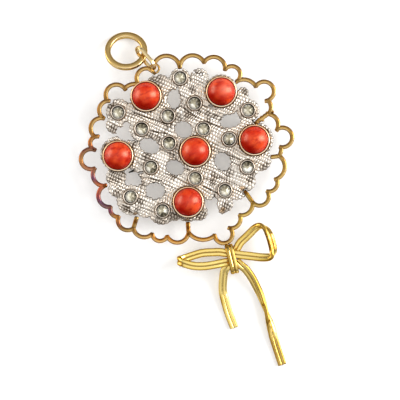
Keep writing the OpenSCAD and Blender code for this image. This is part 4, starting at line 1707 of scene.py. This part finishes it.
@dataclass(frozen=True)
class GreyStones:
    """The small cut stones, each with a table and two rows of facets."""

    radius: float = 1.42
    height: float = 1.3
    seat_z: float = 5.22
    sides: int = 16
    play: float = 0.1
    # Rings of corners from the foot up: number, radius and height, as shares of the stone's
    rings: Table = ((1.0, 0.9, 0.0), (1.0, 1.0, 0.45), (0.5, 0.64, 0.82), (0.5, 0.24, 1.0))
    # Painted light and shade of each stone: bearing and strength of the bright side, then of the dark side,
    # a second bright bearing, and the bearing of its shadow side, which it leans away from
    glints: Table = (
        (225, 0.25, 315, 0.05, 225, 30), (235, 0.35, 0, 0.3, 235, 50), (205, 0.2, 20, 0.1, 250, 0),
        (225, 0.3, 90, 0.02, 225, 90), (190, 0.35, 350, 0.25, 235, 50), (230, 0.35, 80, 0.2, 230, 95),
        (215, 0.3, 30, 0.08, 215, 60), (325, 0.3, 265, 0.28, 215, 270), (225, 0.25, 100, 0.2, 225, 60),
        (215, 0.35, 325, 0.25, 215, 65), (240, 0.5, 80, 0.22, 320, 90), (210, 0.2, 40, 0.12, 210, 45),
        (245, 0.35, 95, 0.08, 310, 90), (200, 0.25, 20, 0.08, 135, 170), (0, 0.3, 280, 0.35, 195, 90),
    )
    # Painted tone of a facet: its middle, what glints add and take, the second's share, and a random part
    middle_tone: float = 0.46
    gain: float = 1.4
    loss: float = 1.7
    second_share: float = 0.75
    spark: float = 0.2
    # Painted light that facets at the girdle add, less on the shadow side that it leans away from, and the
    # table's tone
    girdle_tone: float = 0.45
    girdle_lean: float = 0.1
    table_tone: float = 0.48
    # Where the girdle's facets start and the table ends, as shares of the radius
    girdle_from: float = 0.75
    table_to: float = 0.1

    def stone(self) -> Shape:
        """A cut stone about the z axis.

        Returns:
            The stone, each facet with corners of its own, so that it can have a tone of its own.
        """
        n, crown = self.sides, self.sides // 2
        corners = []
        for count, r, z in self.rings:
            t = 2 * math.pi * np.arange(int(n * count)) / (n * count)
            ring = np.stack([r * np.cos(t), r * np.sin(t), np.full(len(t), z)], axis=1)
            corners.append(ring * [self.radius, self.radius, self.height])
        mid, top = 2 * n, 2 * n + crown
        faces: Faces = [tuple(reversed(range(n)))]
        faces += [(k, (k + 1) % n, n + (k + 1) % n, n + k) for k in range(n)]
        for k in range(crown):
            g, after = n + 2 * k, (k + 1) % crown
            beyond = n + (2 * k + 2) % n
            faces.append((g, g + 1, mid + k))
            faces.append((g + 1, beyond, mid + after))
            faces.append((g + 1, mid + after, mid + k))
            faces.append((mid + k, mid + after, top + after, top + k))
        faces.append(tuple(range(top, top + crown)))
        points = np.vstack(corners)
        starts = np.cumsum([0, *(len(face) for face in faces)])
        loose = [tuple(range(a, b)) for a, b in zip(starts, starts[1:])]
        return Shape(np.vstack([points[list(face)] for face in faces]), loose)

    def tones(self, shape: Shape, k: int, turn: float) -> Points:
        """A painted tone of light and shade for each facet, the same for the facets of one sector.

        Args:
            shape: The stone, turned.
            k: The stone's place in the table.
            turn: Turn of its facets in degrees.

        Returns:
            One tone for each point, from 0 dark to 1 light.
        """
        bright, gain, dark, loss, second, away = self.glints[k]
        sector = 360.0 / (self.sides // 2)
        tone = np.zeros(len(shape.points))
        for face in shape.faces:
            x, y, _ = shape.points[list(face)].mean(0)
            bearing = math.degrees(math.atan2(y, x)) - turn
            bearing = (math.floor(bearing / sector) + 0.5) * sector + turn
            lit = max(self.near(bearing, bright), self.second_share * self.near(bearing, second))
            random = float(scatter(np.array(math.cos(math.radians(bearing))), k + 1.0, 5.0)) - 0.5
            level = self.middle_tone + self.gain * gain * lit + self.spark * random
            level -= self.loss * loss * self.near(bearing, dark)
            reach = math.hypot(x, y) / self.radius
            if reach > self.girdle_from:
                level += self.girdle_tone - self.girdle_lean * self.near(bearing, away)
            elif reach < self.table_to:
                level = self.table_tone
            tone[list(face)] = min(max(level, 0.0), 1.0)
        return tone

    def near(self, bearing: float, aim: float) -> float:
        """How near a bearing is to another, from 1 within 28 degrees to 0 at 75 and more."""
        off = abs((bearing - aim + 180.0) % 360 - 180.0)
        return max(0.0, min(1.0, 1.6 - off / 47.0))

    def build(self, finishes: Finishes) -> None:
        """Makes each grey stone and dresses it.

        Args:
            finishes: The jewel's finishes.
        """
        stone = self.stone()
        for k, (x, y, turn) in enumerate(LAYOUT.grey_stones):
            shape = stone.turned(Axis.Z, turn)
            away = math.radians(self.glints[k][5])
            place = (x - self.play * math.cos(away), y - self.play * math.sin(away), self.seat_z)
            piece(f"cut_stone_{k + 1}", shape.moved(*place), finishes.grey_stone,
                  (f"grey_stone_{k + 1}",), Shading.FACETED, {Mark.FACET: self.tones(shape, k, turn)})


@dataclass(frozen=True)
class RibbonBow:
    """The bow, a ribbon of two round wires side by side: two loops, two tails and the knot round them."""

    wire_r: float = 0.52
    flatness: float = 0.62
    groove: float = 0.15
    steps: int = 12
    # The ribbon's section: half the arc of each wire in degrees, and its points
    arc: float = 134.0
    arc_points: int = 25
    end_size: float = 0.93
    # Stations of each ribbon: x, y, z, and the way that its width points
    left_loop: Table = (
        (10.9, -25.85, 3.35, 0, 1, 0), (9.6, -25.75, 3.35, 0, 1, 0), (8.2, -25.55, 3.2, 0, 1, 0.05),
        (6.4, -25.6, 2.9, 0, 1, 0.1), (3.75, -25.8, 2.7, -0.08, 1, 0.1), (1, -26.6, 2.9, -0.2, 1, 0.05),
        (-1, -27.3, 3.5, -0.2, 1, 0), (-1.95, -27.65, 4.5, -0.05, 1, 0), (-1, -28.2, 5.6, 0.12, 1, 0),
        (1.5, -28.9, 6.2, 0.08, 1, -0.1), (4.15, -29, 6.4, 0, 1, -0.15), (6.75, -28.65, 6, -0.1, 1, -0.15),
        (9.5, -28.1, 5.3, -0.12, 1, -0.05), (10.9, -27.85, 5.15, -0.1, 1, 0),
    )
    right_loop: Table = (
        (12, -25.25, 3.4, -0.75, 0.65, 0), (12.6, -24.4, 3.4, -0.72, 0.68, 0.1),
        (13.4, -23.1, 3.4, -0.7, 0.7, 0.2), (15.1, -21.5, 3.5, -0.68, 0.68, 0.3),
        (17, -19.6, 4, -0.6, 0.6, 0.5), (18.3, -18.95, 4.7, -0.2, 0.4, 0.9),
        (19.5, -19.5, 5.4, -0.5, 0.1, 0.8), (20.4, -20.9, 5.8, -0.75, -0.15, 0.6),
        (21.1, -23, 6, -0.85, -0.2, 0.5), (21.5, -25, 6, -0.75, -0.25, 0.6),
        (21.2, -26.4, 5.9, -0.1, -0.4, 0.9), (20.1, -26.8, 5.7, 0, -0.8, 0.6),
        (18.3, -26.8, 5.5, 0, -0.9, 0.35), (16.2, -26.55, 5.3, 0, -1, 0.2), (14, -26.3, 5.2, 0, -1, 0.1),
        (11.4, -26, 5.15, 0, -1, 0),
    )
    left_tail: Table = (
        (10.9, -28.1, 3.5, -0.6, 0.8, 0), (9.9, -29.4, 3.2, -0.8, 0.5, 0.25),
        (9.2, -31, 2.5, -0.88, 0.2, 0.4), (8.95, -34.9, 1.4, -0.88, 0, 0.45),
        (9.45, -37.6, 0.95, -0.95, -0.2, 0.25), (10.4, -40.9, 0.6, -1, -0.3, 0),
        (11.85, -44.65, 0.53, -1, -0.38, 0),
    )
    right_tail: Table = (
        (12.3, -27.7, 3.5, 0.5, 0.85, 0), (13.5, -28.85, 3.2, 0.6, 0.78, 0.15),
        (14.8, -30, 2.7, 0.72, 0.6, 0.35), (16.3, -32.1, 2.1, 0.78, 0.45, 0.45),
        (17.45, -34.3, 1.6, 0.72, 0.36, 0.6), (18.35, -36.2, 1.35, 0.58, 0.28, 0.77),
        (18.95, -37.8, 1.25, 0.42, 0.2, 0.88), (19.5, -39.4, 1.2, 0.2, 0.1, 0.97),
        (20.1, -41.3, 1.2, -0.15, 0, 1), (20.7, -43.2, 1.15, -0.6, -0.2, 0.77),
        (21.25, -45.2, 0.95, -0.85, -0.25, 0.45), (21.8, -47.4, 0.7, -0.93, -0.28, 0.2),
        (22.7, -50.2, 0.53, -0.95, -0.3, 0), (23.95, -53.95, 0.53, -0.95, -0.32, 0),
    )
    # The knot: its middle, half its length and height, lean in degrees, steps and squareness
    knot_at: Row = (11.2, -27.25, 4.3)
    knot_reach: Row = (3.25, 2.4)
    knot_lean: float = 13.5
    knot_steps: int = 96
    knot_squareness: float = 0.5
    # Painted highlights along the knot: place across the ribbon, width and strength
    knot_lines: Table = ((-0.62, 0.14, 0.5), (-0.15, 0.12, 0.95), (0.66, 0.2, 1.0))
    knot_shade: float = 0.8
    # Painted shade in the groove and at the edges: its share, and its place across the ribbon
    groove_shade: float = 0.95
    groove_range: Row = (0.02, 0.13)
    edge_shade: float = 0.7
    edge_range: Row = (0.82, 1.02)
    # Painted highlight on top of the wires: its share, and where it starts and ends across the ribbon
    polish: float = 0.95
    highlight_from: Row = (0.08, 0.18)
    highlight_to: Row = (0.5, 0.8)
    # What the lit stretch of a tail, above its lower end, loses of its painted shade and gets as painted
    # highlight
    lit_above: float = -35.5
    lit_clears: float = 0.6
    # Darkened places, painted shade and painted dark reflections: x, y, reach and how dark
    shade_spots: Table = (
        (20.3, -20.6, 2.2, 0.8), (21.2, -23.6, 2.8, 0.93), (18.2, -19, 1.1, 0.5), (-2, -27.6, 0.9, 0.85),
        (-1.6, -28.7, 0.9, 0.95), (-0.6, -27.2, 0.5, 0.5), (19.2, -38.8, 0.6, 0.95), (19.9, -40.6, 0.5, 0.5),
        (20.6, -43, 0.8, 0.95), (21.1, -44.4, 0.6, 0.6), (15, -22.6, 1.4, 0.25), (15.4, -31.2, 1.6, 0.2),
        (22.8, -49.5, 4.2, 0.72), (24, -53, 3.5, 0.65),
    )

    def section(self) -> Points:
        """The ribbon's section: two wires with a soldered groove between them.

        Returns:
            The section's points, across and through.
        """
        r = self.wire_r
        t = np.radians(np.linspace(-self.arc, self.arc, self.arc_points))
        side = r + r * np.sign(np.cos(t)) * np.abs(np.cos(t)) ** self.flatness
        rise = r * np.sign(np.sin(t)) * np.abs(np.sin(t)) ** self.flatness
        right, left = np.stack([side, rise], axis=1), np.stack([-side, -rise], axis=1)
        dip = r - self.groove
        return np.vstack([right, [[0.0, dip]], left, [[0.0, -dip]]])

    def ribbon(self, table: Table) -> Shape:
        """A stretch of ribbon through the stations of a table, its cut ends lightly rounded.

        Args:
            table: Stations as x, y, z and the way that the ribbon's width points.

        Returns:
            The ribbon.
        """
        route = eased(np.array(table, float), self.steps)
        return swept(route[:, :3], route[:, 3:], self.section(), closed=False, ends=(self.end_size,))

    def knot(self) -> Shape:
        """The ribbon's round about the loops.

        Returns:
            The knot.
        """
        t = np.radians(np.linspace(0.0, 360.0, self.knot_steps, endpoint=False))
        c, s = np.cos(t), np.sin(t)
        y = self.knot_reach[0] * np.sign(c) * np.abs(c) ** self.knot_squareness
        z = self.knot_reach[1] * np.sign(s) * np.abs(s) ** self.knot_squareness
        ring = np.stack([np.zeros(len(t)), y, z], axis=1)
        ring = np.vstack([ring, ring[:1]])
        # The same ring with its points at even distances
        far = np.concatenate([[0.0], np.cumsum(np.linalg.norm(np.diff(ring, axis=0), axis=1))])
        at = np.linspace(0.0, far[-1], len(t), endpoint=False)
        route = np.stack([np.interp(at, far, ring[:, k]) for k in range(3)], axis=1)
        across = np.tile([1.0, 0.0, 0.0], (len(t), 1))
        shape = swept(route, across, self.section(), closed=True)
        return shape.turned(Axis.Z, self.knot_lean).moved(*self.knot_at)

    def worn(self, points: Points) -> Points:
        """How dark the ribbon is at its folds and twists: painted shade and painted dark reflections.

        Args:
            points: The ribbon's points as the jewel lies.

        Returns:
            A share from 0 to 1 for each point.
        """
        share = np.zeros(len(points))
        for x, y, reach, dark in self.shade_spots:
            streak = smooth_step(-1.5, 0.1, drift(points[:, 0], points[:, 1], 0.8, x))
            fade = 1 - smooth_step(0.4 * reach, reach, distance(points, x, y))
            share = np.maximum(share, dark * streak * fade)
        return share

    def build(self, finishes: Finishes) -> None:
        """Makes the bow's pieces and dresses them.

        Args:
            finishes: The jewel's finishes.
        """
        side = self.section()[:, 0]
        off = np.abs(side)
        # Painted shade in the groove and at the edges, and a painted highlight on top of the wires
        in_groove = self.groove_shade * (1 - smooth_step(*self.groove_range, off))
        shade_across = in_groove + self.edge_shade * smooth_step(*self.edge_range, off)
        shine = self.polish * smooth_step(*self.highlight_from, off) * (1 - smooth_step(*self.highlight_to, off))
        # Each ribbon, a darkening over all of it, and whether its upper stretch has painted light
        for name, table, darkened, lit in (
            ("left_loop", self.left_loop, 0.0, 0.0),
            ("right_loop", self.right_loop, 0.1, 0.0),
            ("left_tail", self.left_tail, 0.1, 1.0),
            ("right_tail", self.right_tail, 0.26, 0.0),
        ):
            ribbon = self.ribbon(table)
            upper = lit * smooth_step(self.lit_above - 2.0, self.lit_above, ribbon.points[:, 1])
            painted_shade = np.maximum(along_rings(shade_across, ribbon), np.maximum(self.worn(ribbon.points), darkened))
            marks = {
                Mark.DIRT_AND_SHADE: painted_shade * (1 - self.lit_clears * upper),
                Mark.PAINTED_HIGHLIGHT: np.maximum(along_rings(shine, ribbon), upper),
            }
            piece(f"ribbon_{name}", ribbon, finishes.bow_gold, (f"bow_{name}",), stored=marks)
        # Painted highlights along the knot, over painted shade
        lines = np.zeros(len(side))
        for at, reach, strength in self.knot_lines:
            lines = np.maximum(lines, strength * np.exp(-(((side - at) / reach) ** 2)))
        knot = self.knot()
        marks = {
            Mark.DIRT_AND_SHADE: along_rings(self.knot_shade * (1 - lines), knot),
            Mark.PAINTED_HIGHLIGHT: along_rings(lines, knot),
        }
        piece("ribbon_knot", knot, finishes.bow_gold, ("bow_knot",), stored=marks)


@dataclass(frozen=True)
class Suspension:
    """The flat ring that a chain runs through, and the oval link that holds it."""

    ring_at: Row = (-15.25, 24.8)
    ring_r: float = 5.35
    ring_band: float = 1.45
    ring_t: float = 1.3
    ring_tilt: float = 27.0
    ring_squareness: float = 4.5
    ring_steps: int = 144
    ring_sides: int = 28
    # How far its rounded edge lets the ring's far side sink
    bevel: float = 0.2
    link_at: Row = (-10.35, 22.95, 3.75)
    link_length: float = 7.5
    link_oval: float = 4.4
    link_wall: float = 0.55
    link_band: float = 0.95
    link_turn: float = -49.0
    link_rise: float = 13.0
    link_roll: float = -20.0
    link_squareness: float = 4.0
    link_sides: int = 20
    link_arc_points: int = 25
    link_straight_steps: int = 8

    def ring(self) -> Shape:
        """The suspension ring, tilted on the surface.

        Returns:
            The ring.
        """
        section = round_bar(self.ring_band, self.ring_t, self.ring_sides, self.ring_squareness)
        flat = hoop(self.ring_r - self.ring_band / 2, section, self.ring_steps)
        tilt = math.radians(self.ring_tilt)
        lift = (self.ring_r - self.bevel) * math.sin(tilt) + self.ring_t / 2 * math.cos(tilt)
        return flat.turned(Axis.X, -self.ring_tilt).moved(*self.ring_at, lift)

    def link(self) -> Shape:
        """The oval band link.

        Returns:
            The link.
        """
        half = (self.link_length - self.link_oval) / 2
        r = (self.link_oval - self.link_wall) / 2
        steps = self.link_straight_steps
        route = []
        for end, first in ((1.0, -90.0), (-1.0, 90.0)):
            for t in np.radians(np.linspace(first, first + 180.0, self.link_arc_points)):
                route.append((end * half + r * math.cos(t), r * math.sin(t), 0.0))
            route += [(end * half * (1 - 2 * k / steps), end * r, 0.0) for k in range(1, steps)]
        path = np.array(route)
        along = unit(np.roll(path, -1, 0) - np.roll(path, 1, 0))
        across = np.cross(along, [0.0, 0.0, 1.0])
        section = round_bar(self.link_wall, self.link_band, self.link_sides, self.link_squareness)
        shape = swept(path, across, section, closed=True).turned(Axis.X, self.link_roll + 90.0)
        return shape.turned(Axis.Y, -self.link_rise).turned(Axis.Z, self.link_turn).moved(*self.link_at)

    def build(self, finishes: Finishes) -> None:
        """Makes the ring and the link and dresses them.

        Args:
            finishes: The jewel's finishes.
        """
        for name, node, shape, sides, strength, shine, least in (
            ("hanging_ring", "suspension_ring", self.ring(), self.ring_sides, 0.5, 0.8, 0.0),
            ("oval_link", "link_ring", self.link(), self.link_sides, 0.4, 0.9, 0.65),
        ):
            # Painted shade on the sides and a painted highlight on the crest; the link is paler all over
            painted_shade, polish = WIRE_LOOK.shade_and_highlight(shape, sides, strength)
            piece(name, shape, finishes.ring_gold, (node,),
                  stored={Mark.DIRT_AND_SHADE: painted_shade, Mark.PAINTED_HIGHLIGHT: np.maximum(shine * polish, least)})


@dataclass(frozen=True)
class BroochPin:
    """The pin behind the plaque: hinge, stem and catch."""

    turn: float = 20.9
    hinge_x: float = 17.0
    catch_x: float = -12.4
    tip: float = 3.3
    stem_r: float = 0.45
    stem_z: float = 1.3
    top: float = 3.97
    hinge: Row = (2.4, 2.6)
    catch: Row = (1.8, 2)
    # The catch's post: its width and how far it stands aside, and the room round the stem
    post_width: float = 0.7
    post_aside: float = 0.65
    play: float = 0.08
    bevel: float = 0.12
    block_sides: int = 24
    stem_sides: int = 20
    # Length of the ground point, and its size at the end as a share of the stem
    point: float = 2.1
    point_size: float = 0.3

    def block(self, x: float, size: Row, low: float, high: float) -> Shape:
        """A block with worn edges, set on the stem's line.

        Args:
            x: Its middle along the stem.
            size: Its length and width.
            low: Its lower height.
            high: Its upper height.

        Returns:
            The block.
        """
        rings = []
        inset = self.bevel
        for z, w in ((low, inset), (low + inset, 0.0), (high - inset, 0.0), (high, inset)):
            section = round_bar(size[0] - 2 * w, size[1] - 2 * w, self.block_sides, 8.0)
            rings.append(np.column_stack([section[:, 0] + x, section[:, 1], np.full(len(section), z)]))
        return Shape(np.vstack(rings), tube_faces(len(rings), self.block_sides, closed=False))

    def stem(self) -> Shape:
        """The stem with its ground point.

        Returns:
            The stem, from the hinge to its tip.
        """
        n, end = self.stem_sides, self.catch_x - self.tip
        shank = np.linspace(self.hinge_x, end + self.point + 0.1, 20)
        x = np.concatenate([shank, np.linspace(end + self.point - 0.1, end, 8)])
        taper = self.point_size + (1 - self.point_size) * (x - end) / self.point
        r = np.where(x > end + self.point, self.stem_r, self.stem_r * taper)
        t = np.radians(np.arange(n) * 360.0 / n)
        rings = []
        for a, b in zip(x, r):
            rings.append(np.column_stack([np.full(n, a), b * np.cos(t), self.stem_z + b * np.sin(t)]))
        return Shape(np.vstack(rings), tube_faces(len(x), n, closed=False))

    def build(self, finishes: Finishes) -> None:
        """Makes the pin in one piece and dresses it.

        Args:
            finishes: The jewel's finishes.
        """
        room = self.stem_r + self.play
        post = self.block(self.catch_x, (self.catch[0], self.post_width), 0.0, self.top)
        shape = joined([
            self.stem(),
            self.block(self.hinge_x, self.hinge, 0.0, self.top),
            self.block(self.catch_x, self.catch, 0.0, self.stem_z - room),
            self.block(self.catch_x, self.catch, self.stem_z + room, self.top),
            post.moved(0.0, -self.post_aside),
        ])
        piece("plain_pin", shape.turned(Axis.Z, self.turn), finishes.steel, ("brooch_pin",))


@dataclass(frozen=True)
class Studio:
    """Pale floor, soft lights and the camera above the jewel, as the photograph has them."""

    # The picture's width and middle, the camera's height, and the height where the width is measured
    picture_mm: float = 100.0
    picture_middle: Row = (3.25, -12.5)
    camera_height: float = 700.0
    plaque_height: float = 4.5
    sensor: float = 36.0
    # The floor in metres: half its side, and how far it lies below the jewel
    floor_half: float = 1.5
    floor_drop: float = 0.00003
    floor_glow: float = 0.17
    floor_tones: tuple[Colour, Colour] = ((0.8, 0.8, 0.8), (0.82, 0.82, 0.82))
    floor_patches: Clouds = Clouds(3, 2, 0.3, 0.7)
    # Brightness of the sky, from straight below to straight above
    sky: Table = (
        (0, 0.25), (0.3, 0.3), (0.5, 0.55), (0.62, 0.75), (0.8, 0.95), (0.95, 1.15), (1, 1.15),
    )
    light_target: Row = (0, -5, 5)

    def floor(self) -> None:
        """The plain pale floor, faintly lit from below as a light table is."""
        mesh = bpy.data.meshes.new("floor")
        half = self.floor_half
        corners = [(-half, -half, 0), (half, -half, 0), (half, half, 0), (-half, half, 0)]
        mesh.from_pydata(corners, [], [(0, 1, 2, 3)])
        d = Dressing("floor")
        d.set(Roughness=0.7, Specular_IOR_Level=0.2, Emission_Color=(1.0, 0.985, 0.955, 1.0),
              Emission_Strength=self.floor_glow)
        d.link(d.mixed(d.clouds(self.floor_patches), *self.floor_tones), "Base Color")
        mesh.materials.append(d.material)
        obj = shown("floor", mesh)
        obj.location.z = -self.floor_drop

    def world(self) -> None:
        """Light from all round: bright above, darker to the sides."""
        world = bpy.data.worlds.new("studio")
        bpy.context.scene.world = world
        world.use_nodes = True
        tree = world.node_tree
        place = tree.nodes.new("ShaderNodeTexCoord")
        split = tree.nodes.new("ShaderNodeSeparateXYZ")
        ramp = tree.nodes.new("ShaderNodeValToRGB")
        fill_ramp(ramp, tuple((at, (value, value, value)) for at, value in self.sky))
        tree.links.new(place.outputs["Generated"], split.inputs["Vector"])
        tree.links.new(split.outputs["Z"], ramp.inputs["Fac"])
        tree.links.new(ramp.outputs["Color"], tree.nodes["Background"].inputs["Color"])

    def softbox(self, name: str, at: Row, size: Row, power: float) -> None:
        """One soft light that faces the jewel.

        Args:
            name: Its name.
            at: Its place in millimetres as the jewel lies.
            size: Its width and height in metres.
            power: Its power in watts.
        """
        light = bpy.data.lights.new(name, "AREA")
        light.shape = "RECTANGLE"
        light.size, light.size_y = size
        light.energy = power
        place = LIE.upright(np.array(at, float))
        aim = LIE.upright(np.array(self.light_target)) - place
        obj = shown(name, light)
        obj.location = place.tolist()
        obj.rotation_euler = Vector(aim.tolist()).to_track_quat("-Z", "Y").to_euler()

    def camera(self) -> None:
        """The camera, straight above with a long lens, rolled as the jewel lies."""
        data = bpy.data.cameras.new("camera")
        data.sensor_width = self.sensor
        data.lens = self.sensor * (self.camera_height - self.plaque_height) / self.picture_mm
        data.clip_start, data.clip_end = 0.01, 10.0
        obj = shown("camera", data)
        obj.location = LIE.upright(np.array([*self.picture_middle, self.camera_height])).tolist()
        obj.rotation_euler = (0.0, 0.0, -math.radians(LIE.lean))
        bpy.context.scene.camera = obj

    def build(self) -> None:
        """Sets up the whole studio."""
        self.floor()
        self.world()
        self.softbox("right_box", (430, 100, 215), (0.28, 0.44), 3.3)
        self.softbox("left_box", (-440, 120, 120), (0.4, 0.26), 1.9)
        self.camera()
        bpy.context.scene.view_settings.view_transform = "Standard"


def main() -> None:
    """Builds each sub-assembly in order, then the studio round the jewel."""
    logging.basicConfig(level=logging.INFO, format="%(name)s: %(message)s")
    finishes = Finishes.mixed()
    scallops = ScallopFrame()
    Plaque(scallops).build(finishes)
    scallops.build(finishes)
    CoralSettings().build(finishes)
    GreyStones().build(finishes)
    RibbonBow().build(finishes)
    Suspension().build(finishes)
    BroochPin().build(finishes)
    Studio().build()


if __name__ == "__main__":
    main()
